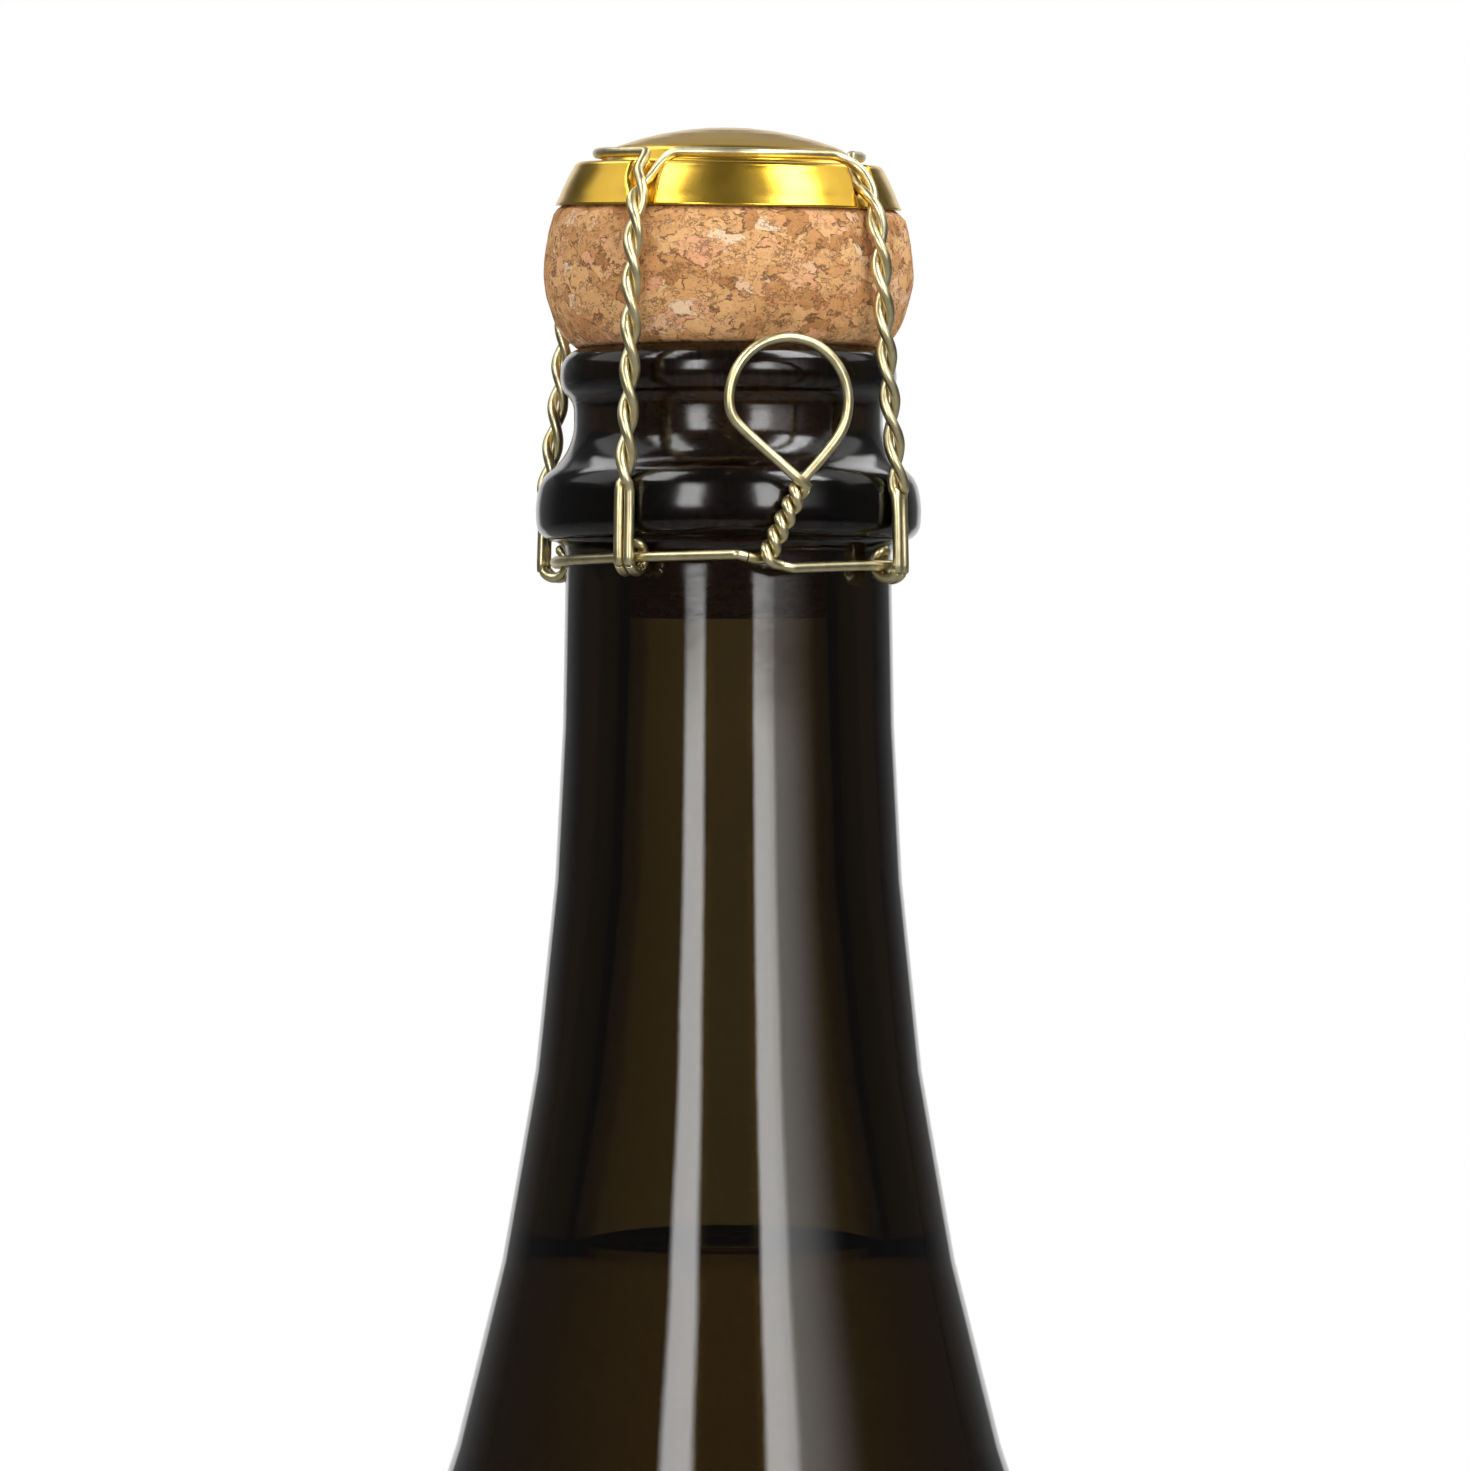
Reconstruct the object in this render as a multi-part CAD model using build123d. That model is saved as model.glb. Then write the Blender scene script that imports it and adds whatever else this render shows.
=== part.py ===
from build123d import *
from math import acos, atan2, ceil, cos, degrees, hypot, pi, radians, sin, sqrt
import os

# A 750 ml sparkling wine bottle, closed: glass, wine, cork, crown cap and twisted wire cage.
# Lengths are in millimetres and angles in degrees. The base stands on z = 0 and +Z is up.
# Azimuths start at the front (-Y) and grow towards +X. Depths are counted down from the lip.

# Glass body and neck
bottle_height = 300.0
body_radius = 44.0
wall = 5.8
neck_radius = 14.3
flare_depth = 19.0
flare_radius = 400.0
flare_angle = 3.9
hollow_radius = 238.0
shoulder_angle = 24.0

# Glass finish: lip, waist and collar
lip_radius = 14.75
lip_round = 1.75
lip_band_height = 1.35
lip_under_round = 1.5
waist_radius = 13.55
waist_round = 1.9
waist_band_height = 0.95
cove_round = 5.4
collar_radius = 16.9
collar_round = 2.8
collar_depth = 16.4
collar_corner = 1.2
neck_fillet = 1.4
arc_part_angle = 45.0

# Glass bore and foot
bore_radius = 8.75
bore_depth = 26.0
heel_radius = 10.0
foot_flat = 2.0
foot_round = 4.0
punt_height = 33.0
punt_slope = 65.0
punt_thickness = 7.0
base_thickness = 5.0
valley_round = 5.0
wall_sag = 0.5
punt_sag = 0.4
heel_sag = 0.1

# Wine
fill_depth = 78.6
film = 0.1

# Cork: agglomerate body over two discs of natural cork
cork_depth = 23.2
disc_thickness = 6.0
cork_fit = 0.05
head_gap = 0.3
head_base_radius = 12.4
head_radius = 16.3
head_belly = 7.3
head_upper_round = 15.0
belly_chords = 5
cork_sag = 0.1

# Crown cap, seated a little askew on the cork
crown_height = 12.8
crown_tilt = 3.6
crown_azimuth = 14.0
skirt_radius = 15.2
skirt_height = 3.3
cap_shoulder_radius = 13.6
ledge_height = 3.85
ledge_radius = 12.9
dome_foot_radius = 10.8
dome_edge_radius = 10.2
dome_edge_height = 5.1
dome_height = 7.1
cap_thickness = 0.3
cap_gap = 0.35
cap_sag = 0.06

# Cage wire
wire_diameter = 0.9
wire_sides = 6
strand_gap = 0.08
wire_joint = 0.05
wire_gap = 0.3

# Cage legs: two strands twisted together, azimuths at the cap, the cork's belly and the foot
leg_azimuths = {
    "leg_front_left": (-31.5, -28.5, -30.5),
    "leg_front_right": (55.0, 50.0, 57.5),
    "leg_back_right": (144.0, 148.0, 142.0),
    "leg_back_left": (238.0, 236.0, 248.0),
}
leg_top = 1.6
leg_top_inset = 1.0
leg_shoulder_outset = 0.35
leg_belly_outset = 0.85
leg_waist_depth = 5.0
leg_waist_outset = 0.4
leg_turns = 3.75
leg_straight = 5.6
rings_per_turn = 8
foot_strand_gap = 0.3
curl_angle = 225.0
curl_rings = 8
turn_back_rings = 5

# Cage top ring, lying on the cap's ledge
ring_corner_radius = 12.3
bend_before = 1.6
bend_after = 2.2
bend_handle = 1.3
bend_rings = 6
side_rings = 5

# Clearance pressed into cap and cork for the legs
press_gap = 0.2
press_height = 2.0
press_flare = 1.2

# Belt wire below the collar
neck_gap = 0.45
belt_hug_gap = 0.45
belt_depth = 18.3
corner_blend_angle = 2.5
belt_step_angle = 9.0

# Pull loop, folded up in front of the collar
loop_azimuth = 17.0
loop_gap = 0.25
root_side = -2.36
root_depth = 18.65
root_tilt = 13.0
root_stub = 1.6
root_clearance = 0.1
belt_tail = 0.8
crossing_side = 0.99
crossing_depth = 11.96
eye_side = -0.2
eye_depth = 4.85
eye_radius = 5.4
eye_left_round = 3.34
eye_right_round = 6.0
shank_turns = 2.5
shank_end_length = 0.35
shank_rings_per_turn = 8
stub_handle = 0.7
stub_rings = 5
eye_rings = 14
round_rings = 4

# Shared values
overrun = 1.0
wire_radius = wire_diameter / 2
pair_radius = wire_radius + strand_gap / 2
lip_top = bottle_height


def outward(azimuth):
    """Unit vector that points away from the bottle's axis."""
    return Vector(sin(radians(azimuth)), -cos(radians(azimuth)), 0)


def rightward(azimuth):
    """Unit vector to the right, for someone who faces the bottle at this azimuth."""
    return Vector(cos(radians(azimuth)), sin(radians(azimuth)), 0)


def place(radius, azimuth, height):
    """Point at a radius, azimuth and height."""
    return outward(azimuth) * radius + Vector(0, 0, height)


def polar(centre, radius, angle):
    """Point on a circle in an outline, at an angle in degrees."""
    return (centre[0] + radius * cos(radians(angle)), centre[1] + radius * sin(radians(angle)))


def turned(edges):
    """Solid of revolution about +Z from a closed outline of radius and height."""
    return revolve(Plane.XZ * make_face(edges), Axis.Z, clean=False)


def tangent_centre(near, near_radius, far_x, far_radius):
    """Centre below near, at far_x, of a circle that touches the one at near from outside."""
    reach = near_radius + far_radius
    return (far_x, near[1] - sqrt(reach ** 2 - (far_x - near[0]) ** 2))


def heading(start, end):
    """Angle in degrees of the line from start to end."""
    return degrees(atan2(end[1] - start[1], end[0] - start[0]))


def arc_parts(centre, radius, start, sweep):
    """Arc in an outline, in equal parts, because short parts give lighter meshes."""
    count = ceil(abs(sweep) / arc_part_angle)
    part = sweep / count
    return [CenterArc(centre, radius, start + part * index, part) for index in range(count)]


def chords(centre, radius, start, sweep, sag, outset=0):
    """Points along an arc whose chords lie within sag of it, moved off its centre by outset."""
    step = 2 * degrees(acos(1 - sag / radius))
    count = ceil(abs(sweep) / step)
    return [polar(centre, radius + outset, start + sweep * index / count) for index in range(count + 1)]


def side_forms():
    """Arcs of the flaring neck and the shoulder's hollow and round: centre, radius, start, sweep."""
    flare = (neck_radius + flare_radius, lip_top - flare_depth)
    hollow = polar(polar(flare, flare_radius, 180 + flare_angle), hollow_radius, flare_angle)
    steepest = polar(hollow, hollow_radius, 180 + shoulder_angle)
    round_radius = (body_radius - steepest[0]) / (1 - cos(radians(shoulder_angle)))
    shoulder = polar(steepest, round_radius, 180 + shoulder_angle)
    return (
        (flare, flare_radius, 180, flare_angle),
        (hollow, hollow_radius, 180 + flare_angle, shoulder_angle - flare_angle),
        (shoulder, round_radius, shoulder_angle, -shoulder_angle),
    )


def punt_points(round_centre, round_radius, height, inset=0):
    """Points round the foot, up the flank and over the dome of the hollow under the bottle."""
    foot = polar(round_centre, round_radius, 270 - punt_slope)
    slope = radians(punt_slope)
    across = sin(slope) * foot[0] - cos(slope) * (height - foot[1])
    dome_radius = across / (sin(slope) ** 2 - cos(slope) * (1 - cos(slope)))
    dome_centre = (0, height - dome_radius)
    rounding = chords(round_centre, round_radius, 270, -punt_slope, punt_sag, -inset)
    return rounding + chords(dome_centre, dome_radius, 90 - punt_slope, punt_slope, punt_sag, inset)


def finish_curve():
    """Lip, waist and collar from the lip's flat top down to the straight neck."""
    lip = (lip_radius - lip_round, lip_top - lip_round)
    under = (lip_radius - lip_under_round, lip[1] - lip_band_height)
    waist = tangent_centre(under, lip_under_round, waist_radius + waist_round, waist_round)
    cove = (waist_radius + cove_round, waist[1] - waist_band_height)
    collar = tangent_centre(cove, cove_round, collar_radius - collar_round, collar_round)
    under_angle = heading(under, waist)
    cove_angle = heading(cove, collar)
    underside = lip_top - collar_depth
    corner = (collar_radius - collar_corner, underside + collar_corner)
    fillet_centre = (neck_radius + neck_fillet, underside - neck_fillet)
    arcs = arc_parts(lip, lip_round, 90, -90)
    arcs += arc_parts(under, lip_under_round, 0, under_angle)
    arcs += arc_parts(waist, waist_round, 180 + under_angle, -under_angle)
    arcs += arc_parts(cove, cove_round, 180, cove_angle + 180)
    arcs += arc_parts(collar, collar_round, cove_angle + 180, -180 - cove_angle)
    arcs += arc_parts(corner, collar_corner, 0, -90)
    arcs += arc_parts(fillet_centre, neck_fillet, 90, 90)
    return arcs + [
        Line((lip_radius, lip[1]), (lip_radius, under[1])),
        Line((waist_radius, waist[1]), (waist_radius, cove[1])),
        Line((collar_radius, collar[1]), (collar_radius, corner[1])),
        Line((corner[0], underside), (fillet_centre[0], underside)),
        Line((neck_radius, fillet_centre[1]), (neck_radius, lip_top - flare_depth)),
    ]


def inside_points(inset):
    """Points from the bore's foot down the inner wall and over the punt, drawn in by inset."""
    hollow, shoulder = side_forms()[1:]
    valley = (body_radius - wall - valley_round, base_thickness + valley_round)
    points = [(bore_radius - inset, lip_top - bore_depth)]
    points += chords(*hollow, wall_sag, wall + inset)
    points += chords(*shoulder, wall_sag, -wall - inset)[1:]
    points += chords(valley, valley_round, 0, -90, punt_sag, -inset)
    return points + punt_points(valley, valley_round, punt_height + punt_thickness, inset)[1:]


def make_glass():
    """Bottle turned from one outline: finish, neck, shoulder, heel, punt and back up the inside."""
    forms = side_forms()
    arcs = [CenterArc(*form) for form in forms]
    heel = (body_radius - heel_radius, heel_radius)
    foot = (heel[0] - foot_flat, foot_round)
    side = Line((body_radius, forms[2][0][1]), (body_radius, heel_radius))
    under = chords(heel, heel_radius, 0, -90, heel_sag) + punt_points(foot, foot_round, punt_height)
    inside = inside_points(0)[::-1] + [(bore_radius, lip_top), (lip_radius - lip_round, lip_top)]
    return turned(finish_curve() + arcs + [side] + Polyline(*under, *inside).edges())


def make_wine():
    """Wine up to the fill line, a film off the glass."""
    edge = bore_radius - film
    bore = [(0, lip_top - bore_depth), (edge, lip_top - bore_depth)]
    room = turned(Polyline(*bore, *inside_points(film)[1:], close=True).edges())
    column = Cylinder(body_radius, lip_top - fill_depth, align=(Align.CENTER, Align.CENTER, Align.MIN))
    return room & column


def crown_plane():
    """Plane of the cap's lower edge, leaning towards the crown's azimuth."""
    lean = outward(crown_azimuth) * sin(radians(crown_tilt))
    up = Vector(0, 0, cos(radians(crown_tilt)))
    return Plane(origin=(0, 0, lip_top + crown_height), x_dir=(1, 0, 0), z_dir=lean + up)


def cap_form(inset):
    """Solid with the cap's outer form, moved inwards by inset."""
    foot = -overrun if inset else 0
    flare = (skirt_radius - cap_shoulder_radius) / skirt_height
    across = cap_shoulder_radius - ledge_radius
    drop = ledge_height - skirt_height
    rim_round = (across ** 2 + drop ** 2) / (2 * drop)
    rim = (ledge_radius - inset, ledge_height - inset - rim_round)
    rim_angle = degrees(acos(across / rim_round))
    dome_edge = (dome_edge_radius - inset, dome_edge_height - inset)
    rise = dome_height - dome_edge_height
    dome_radius = (dome_edge[0] ** 2 + rise ** 2) / (2 * rise)
    dome_angle = degrees(acos(dome_edge[0] / dome_radius))
    dome = (0, dome_height - inset - dome_radius)
    points = [(0, foot), (skirt_radius - inset - foot * flare, foot)]
    points += chords(rim, rim_round, rim_angle, 90 - rim_angle, cap_sag)
    points += [(dome_foot_radius - inset, ledge_height - inset)]
    points += chords(dome, dome_radius, dome_angle, 90 - dome_angle, cap_sag)
    return crown_plane() * turned(Polyline(*points, close=True).edges())


def mitred_rings(points, radii):
    """Corner points of flat-sided straight runs through points, mitred where two runs meet."""
    runs = [(end - start).normalized() for start, end in zip(points, points[1:])]
    runs = [runs[0]] + runs + [runs[-1]]
    across = runs[0].cross(Vector(runs[0].Z, runs[0].X, runs[0].Y)).normalized()
    over = runs[0].cross(across)
    turns = [2 * pi * index / wire_sides for index in range(wire_sides)]
    spokes = [across * cos(turn) + over * sin(turn) for turn in turns]
    rings = []
    for point, radius, arriving, leaving in zip(points, radii, runs, runs[1:]):
        mitre = arriving + leaving
        spokes = [spoke - arriving * (spoke.dot(mitre) / arriving.dot(mitre)) for spoke in spokes]
        rings.append([point + spoke * radius for spoke in spokes])
        spokes = [spoke - leaving * spoke.dot(leaving) for spoke in spokes]
    return rings


def wire(points):
    """Cage wire through points, its flat-sided section of the same area as the round wire's."""
    angle = 2 * pi / wire_sides
    ring_radius = wire_radius * sqrt(2 * pi / (wire_sides * sin(angle)))
    rings = mitred_rings(points, [ring_radius] * len(points))
    corners = [rings[0], rings[-1]]
    for near, far in zip(rings, rings[1:]):
        for one in range(wire_sides):
            two = (one + 1) % wire_sides
            corners.append([near[one], near[two], far[two], far[one]])
    return Solid(Shell([Face(Wire.make_polygon(outline)) for outline in corners]))


def tapered_rod(points, radii):
    """Flat-sided rod through points whose radius changes along it."""
    rings = mitred_rings(points, radii)
    return loft([make_face(Polyline(*ring, close=True)) for ring in rings], ruled=True)


def bend(start, start_tangent, end, end_tangent, handle, count):
    """Points inside a smooth bend from start to end, the two ends left out."""
    one = start + start_tangent * handle
    two = end - end_tangent * handle
    points = []
    for index in range(1, count):
        u = index / count
        v = 1 - u
        points.append(start * v ** 3 + one * (3 * u * v ** 2) + two * (3 * u ** 2 * v) + end * u ** 3)
    return points


def foot_radius():
    """Radius at which a leg passes the collar and its curl starts."""
    return collar_radius + wire_gap + wire_radius


def curl_radius():
    """Radius of a foot's curl, which fills the room between leg and neck."""
    return (foot_radius() - neck_radius - neck_gap - wire_radius) / 2


def loop_point(side, depth):
    """Point in the pull loop's plane, at a distance to the right and a depth."""
    distance = collar_radius + wire_gap + pair_radius + wire_radius + loop_gap / 2
    flat = outward(loop_azimuth) * distance + rightward(loop_azimuth) * side
    return flat + Vector(0, 0, lip_top - depth)


def hinge_line():
    """Direction from the belt's left end to its right end, on which the pull loop folds."""
    down = Vector(0, 0, -sin(radians(root_tilt)))
    return rightward(loop_azimuth) * cos(radians(root_tilt)) + down


def belt_end(sign):
    """Where the belt turns into line with the hinge, left (-1) or right (+1) of the root."""
    reach = root_stub + root_clearance + belt_tail
    return loop_point(root_side, root_depth) + hinge_line() * (sign * reach)


def azimuth_of(point):
    """Azimuth of a point."""
    return degrees(atan2(point.X, -point.Y))


def belt_height(azimuth):
    """Height of the belt's wire, which runs level and then meets the two ends at the root."""
    start = azimuth_of(belt_end(1))
    end = azimuth_of(belt_end(-1)) + 360
    share = ((azimuth - start) % 360) / (end - start)
    level = lip_top - belt_depth
    rise_left = (belt_end(-1).Z - level) * share ** 6
    fall_right = (belt_end(1).Z - level) * (1 - share) ** 6
    return level + rise_left + fall_right


def taut_radius(azimuth, corners, hug):
    """Radius of a wire drawn tight round a drum and out over corners of azimuth and radius."""
    for (start, start_radius), (end, end_radius) in zip(corners, corners[1:]):
        if start <= azimuth <= end:
            break
    span = radians(end - start)
    chord = sqrt(start_radius ** 2 + end_radius ** 2 - 2 * start_radius * end_radius * cos(span))
    near = start_radius * end_radius * sin(span) / chord
    if near > hug:
        foot = start + degrees(acos(near / start_radius))
        return near / cos(radians(azimuth - foot))
    leave = max(0, acos(hug / start_radius) - radians(azimuth - start))
    arrive = max(0, acos(hug / end_radius) - radians(end - azimuth))
    return max(hug / cos(leave), hug / cos(arrive))


def blended_radius(azimuth, corners, hug):
    """Taut radius with its corners rounded by the wire's own stiffness."""
    low = max(azimuth - corner_blend_angle, corners[0][0])
    high = min(azimuth + corner_blend_angle, corners[-1][0])
    angles = (low, azimuth, high)
    return sum(taut_radius(angle, corners, hug) for angle in angles) / len(angles)


def span_azimuths(start, end):
    """Azimuths from start towards end: close together at the corners, wide between them."""
    inner = [start + corner_blend_angle, end - corner_blend_angle]
    count = max(1, round((inner[1] - inner[0]) / belt_step_angle))
    steps = [inner[0] + (inner[1] - inner[0]) * index / count for index in range(count + 1)]
    return [start] + steps


def make_belt():
    """Belt wire that runs through the four feet under the collar and ends at the hinge."""
    right = belt_end(1)
    left = belt_end(-1)
    corners = [(azimuth_of(right), hypot(right.X, right.Y))]
    eye = foot_radius() - curl_radius()
    feet = sorted(azimuths[2] % 360 for azimuths in leg_azimuths.values())
    corners += [(azimuth, eye) for azimuth in feet]
    corners += [(azimuth_of(left) + 360, hypot(left.X, left.Y))]
    hug = neck_radius + belt_hug_gap + wire_radius
    azimuths = []
    for (start, _), (end, _) in zip(corners, corners[1:]):
        azimuths += span_azimuths(start, end)
    points = [right - hinge_line() * belt_tail, right]
    for azimuth in azimuths[1:]:
        radius = blended_radius(azimuth, corners, hug)
        points.append(place(radius, azimuth, belt_height(azimuth)))
    points += [left, left + hinge_line() * belt_tail]
    return wire(points)


def leg_stations(azimuths):
    """Points that the middle of a twisted leg passes, from the cap down to the foot."""
    top, belly, foot = azimuths
    heights_and_radii = [
        (crown_height + leg_top, skirt_radius - leg_top_inset, top),
        (crown_height, skirt_radius + leg_shoulder_outset, (top + belly) / 2),
        (head_belly, head_radius + leg_belly_outset, belly),
        (-leg_waist_depth, collar_radius + leg_waist_outset, (belly + foot) / 2),
        (-collar_depth + collar_corner, foot_radius(), foot),
    ]
    points = [place(radius, azimuth, lip_top + height) for height, radius, azimuth in heights_and_radii]
    return points + [place(foot_radius(), foot, belt_height(foot))]


def leg_path(azimuths):
    """Smooth middle line of a twisted leg."""
    return Spline(*leg_stations(azimuths))


def leg_frame(path, distance):
    """Point, direction, outward side and right side of a leg's middle line."""
    point = path.position_at(distance, PositionMode.LENGTH)
    along = path.tangent_at(distance, PositionMode.LENGTH)
    out = outward(azimuth_of(point))
    out = (out - along * out.dot(along)).normalized()
    return point, along, out, out.cross(along)


def leg_strand(path, phase):
    """Points of one strand from the cap to the foot: twisted, then side by side."""
    twisted = path.length - leg_straight
    count = round(leg_turns * rings_per_turn)
    points = []
    for index in range(count + 1):
        point, _, out, right = leg_frame(path, twisted * index / count)
        angle = 2 * pi * leg_turns * index / count + phase
        points.append(point + out * (pair_radius * cos(angle)) + right * (pair_radius * sin(angle)))
    point, _, _, right = leg_frame(path, path.length)
    points.append(point + right * (pair_radius * sin(2 * pi * leg_turns + phase)))
    return points


def leg_foot(azimuth):
    """Points of the hairpin foot: left strand curled in and up, turned back, right strand out."""
    centre = place(foot_radius() - curl_radius(), azimuth, belt_height(azimuth))
    out = outward(azimuth) * curl_radius()
    down = Vector(0, 0, -curl_radius())
    right = rightward(azimuth)
    spread = wire_radius + foot_strand_gap / 2
    left_side = []
    right_side = []
    for index in range(1, curl_rings + 1):
        share = index / curl_rings
        angle = radians(curl_angle) * share
        middle = centre + out * cos(angle) + down * sin(angle)
        half_width = pair_radius + (spread - pair_radius) * share
        left_side.append(middle - right * half_width)
        right_side.append(middle + right * half_width)
    end_angle = radians(curl_angle)
    ahead = (down * cos(end_angle) - out * sin(end_angle)).normalized()
    turn = []
    for index in range(1, turn_back_rings):
        angle = pi * index / turn_back_rings
        turn.append(middle + (ahead * sin(angle) - right * cos(angle)) * spread)
    return left_side + turn + right_side[::-1]


def ring_corners():
    """Azimuth and radius of the top ring's corners, one more than a full turn."""
    tops = sorted(azimuths[0] for azimuths in leg_azimuths.values())
    tops = [tops[-1] - 360] + tops + [tops[0] + 360]
    return [(azimuth, ring_corner_radius) for azimuth in tops]


def ring_point(azimuth):
    """Point of the top ring, which hugs the dome and reaches out to each leg."""
    hug = dome_foot_radius + wire_gap + wire_radius
    radius = blended_radius(azimuth, ring_corners(), hug)
    height = ledge_height + wire_gap + wire_radius
    return crown_plane().from_local_coords(place(radius, azimuth, height))


def ring_side(near, far):
    """Points along one side of the top ring from near a corner out to the middle of the side."""
    return [ring_point(near + (far - near) * index / side_rings) for index in range(side_rings + 1)]


def make_leg(azimuths):
    """One unbroken wire: half a top side, a strand down, the foot, a strand up, half a side."""
    top, _, foot = azimuths
    corners = [azimuth for azimuth, _ in ring_corners()]
    before = max(azimuth for azimuth in corners if azimuth < top)
    after = min(azimuth for azimuth in corners if azimuth > top)
    joint = degrees(wire_joint / 2 / ring_corner_radius)
    left_near = top - degrees(bend_before / ring_corner_radius)
    right_near = top + degrees(bend_after / ring_corner_radius)
    left_side = ring_side(left_near, (before + top) / 2 + joint)
    right_side = ring_side(right_near, (top + after) / 2 - joint)
    path = leg_path(azimuths)
    left_strand = leg_strand(path, 0)
    right_strand = leg_strand(path, pi)
    left_start = (left_strand[1] - left_strand[0]).normalized()
    right_start = (right_strand[1] - right_strand[0]).normalized()
    left_run = (left_side[0] - left_side[1]).normalized()
    right_run = (right_side[0] - right_side[1]).normalized()
    left_bend = bend(left_side[0], left_run, left_strand[0], left_start, bend_handle, bend_rings)
    right_bend = bend(right_side[0], right_run, right_strand[0], right_start, bend_handle, bend_rings)
    points = left_side[::-1] + left_bend + left_strand + leg_foot(foot)
    points += right_strand[::-1] + right_bend[::-1] + right_side
    return wire(points)


def leg_press(azimuths, growth):
    """Rod along a leg that presses its channel into the cap's edge and the cork's side."""
    stations = leg_stations(azimuths)[:3]
    rise = (stations[0] - stations[1]).normalized()
    channel = pair_radius + wire_radius + press_gap + growth
    rim = stations[0] + rise * press_height
    above = rim + rise * press_height
    points = [above, rim] + stations
    radii = [channel + 2 * press_flare, channel + press_flare, channel, channel, channel]
    return tapered_rod(points, radii)


def make_cap():
    """Pressed metal crown cap with a channel for each leg of the cage."""
    outside = cap_form(0)
    inside = cap_form(cap_thickness)
    for azimuths in leg_azimuths.values():
        outside = outside - leg_press(azimuths, 0)
        inside = inside - leg_press(azimuths, cap_thickness)
    return outside - inside


def cork_head():
    """Swollen head of the cork above the lip, with the crown that fills the cap, both dented."""
    foot = lip_top + head_gap
    belly_height = lip_top + head_belly
    upper = (head_radius - head_upper_round, belly_height)
    top = lip_top + crown_height + ledge_height
    top_angle = degrees(acos(1 - (top - belly_height) ** 2 / (2 * head_upper_round ** 2)))
    points = [(0, foot)]
    for index in range(belly_chords):
        angle = radians(90 * index / belly_chords)
        out = (head_radius - head_base_radius) * sin(angle)
        down = (head_belly - head_gap) * cos(angle)
        points.append((head_base_radius + out, belly_height - down))
    points += chords(upper, head_upper_round, 0, top_angle, cork_sag)
    points += [(0, points[-1][1])]
    below_cap = crown_plane() * Pos(0, 0, -head_gap)
    bulk = turned(Polyline(*points, close=True).edges())
    keep = below_cap * Cylinder(body_radius, 2 * cork_depth, align=(Align.CENTER, Align.CENTER, Align.MAX))
    crown = below_cap * Cone(
        skirt_radius - cap_thickness - cap_gap,
        cap_shoulder_radius - cap_thickness - cap_gap,
        skirt_height - cap_thickness,
        align=(Align.CENTER, Align.CENTER, Align.MIN),
    )
    head = bulk & keep
    for azimuths in leg_azimuths.values():
        head = head - leg_press(azimuths, 0)
        crown = crown - leg_press(azimuths, cap_thickness + cap_gap)
    return head + crown


def cork_cylinder(low, high):
    """Straight length of cork in the bore, between two depths below the lip."""
    shank = Cylinder(
        bore_radius - cork_fit, low - high, align=(Align.CENTER, Align.CENTER, Align.MIN)
    )
    return Pos(0, 0, lip_top - low) * shank


def make_cork_body():
    """Agglomerate cork: shank in the bore and swollen head, dented by the cage's legs."""
    return cork_cylinder(cork_depth - 2 * disc_thickness, -2 * head_gap) + cork_head()


def make_disc(low):
    """Disc of natural cork whose lower face is at the depth low."""
    return cork_cylinder(low, low - disc_thickness)


def shank_frame():
    """Direction down the pull loop's shank, its right side, and the length that is twisted."""
    crossing = loop_point(crossing_side, crossing_depth)
    root = loop_point(root_side, root_depth)
    down = (root - crossing).normalized()
    right = outward(loop_azimuth).cross(down)
    return crossing, down, right, (root - crossing).length - shank_end_length


def shank_strand(phase):
    """Points of one strand of the shank, from the crossing down to the root."""
    crossing, down, right, length = shank_frame()
    front = outward(loop_azimuth)
    count = round(shank_turns * shank_rings_per_turn)
    points = []
    for index in range(count + 1):
        angle = 2 * pi * shank_turns * index / count + phase
        offset = front * (pair_radius * cos(angle)) + right * (pair_radius * sin(angle))
        points.append(crossing + down * (length * index / count) + offset)
    return points


def eye_arc(centre, radius, start, end, count):
    """Points on an arc of the pull loop's eye, from start towards end, the end left out."""
    points = []
    for index in range(count):
        side, depth = polar(centre, radius, start + (end - start) * index / count)
        points.append(loop_point(side, -depth))
    return points


def eye_points():
    """Points round the teardrop eye, from its left flank over the top to its right flank."""
    crossing = (crossing_side, -crossing_depth)
    middle = (eye_side, -eye_depth)
    left = (eye_side - eye_radius + eye_left_round, -eye_depth)
    right = (eye_side + eye_radius - eye_right_round, -eye_depth)
    left_reach = hypot(crossing[0] - left[0], crossing[1] - left[1])
    right_reach = hypot(crossing[0] - right[0], crossing[1] - right[1])
    left_angle = heading(left, crossing) - degrees(acos(eye_left_round / left_reach)) + 360
    right_angle = heading(right, crossing) + degrees(acos(eye_right_round / right_reach))
    points = eye_arc(left, eye_left_round, left_angle, 180, round_rings)
    points += eye_arc(middle, eye_radius, 180, 0, eye_rings)
    points += eye_arc(right, eye_right_round, 0, right_angle, round_rings)
    side, depth = polar(right, eye_right_round, right_angle)
    return points + [loop_point(side, -depth)]


def make_pull_loop():
    """One wire: left stub, twisted strand, teardrop eye, the other strand, right stub."""
    root = loop_point(root_side, root_depth)
    line = hinge_line()
    left_strand = shank_strand(0)
    right_strand = shank_strand(pi)
    left_stub = root - line * root_stub
    right_stub = root + line * root_stub
    left_down = (left_strand[-1] - left_strand[-2]).normalized()
    right_down = (right_strand[-1] - right_strand[-2]).normalized()
    left_bend = bend(left_strand[-1], left_down, left_stub, -line, stub_handle, stub_rings)
    right_bend = bend(right_strand[-1], right_down, right_stub, line, stub_handle, stub_rings)
    points = [left_stub] + left_bend[::-1] + left_strand[::-1] + eye_points()
    points += right_strand + right_bend + [right_stub]
    return wire(points)


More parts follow.
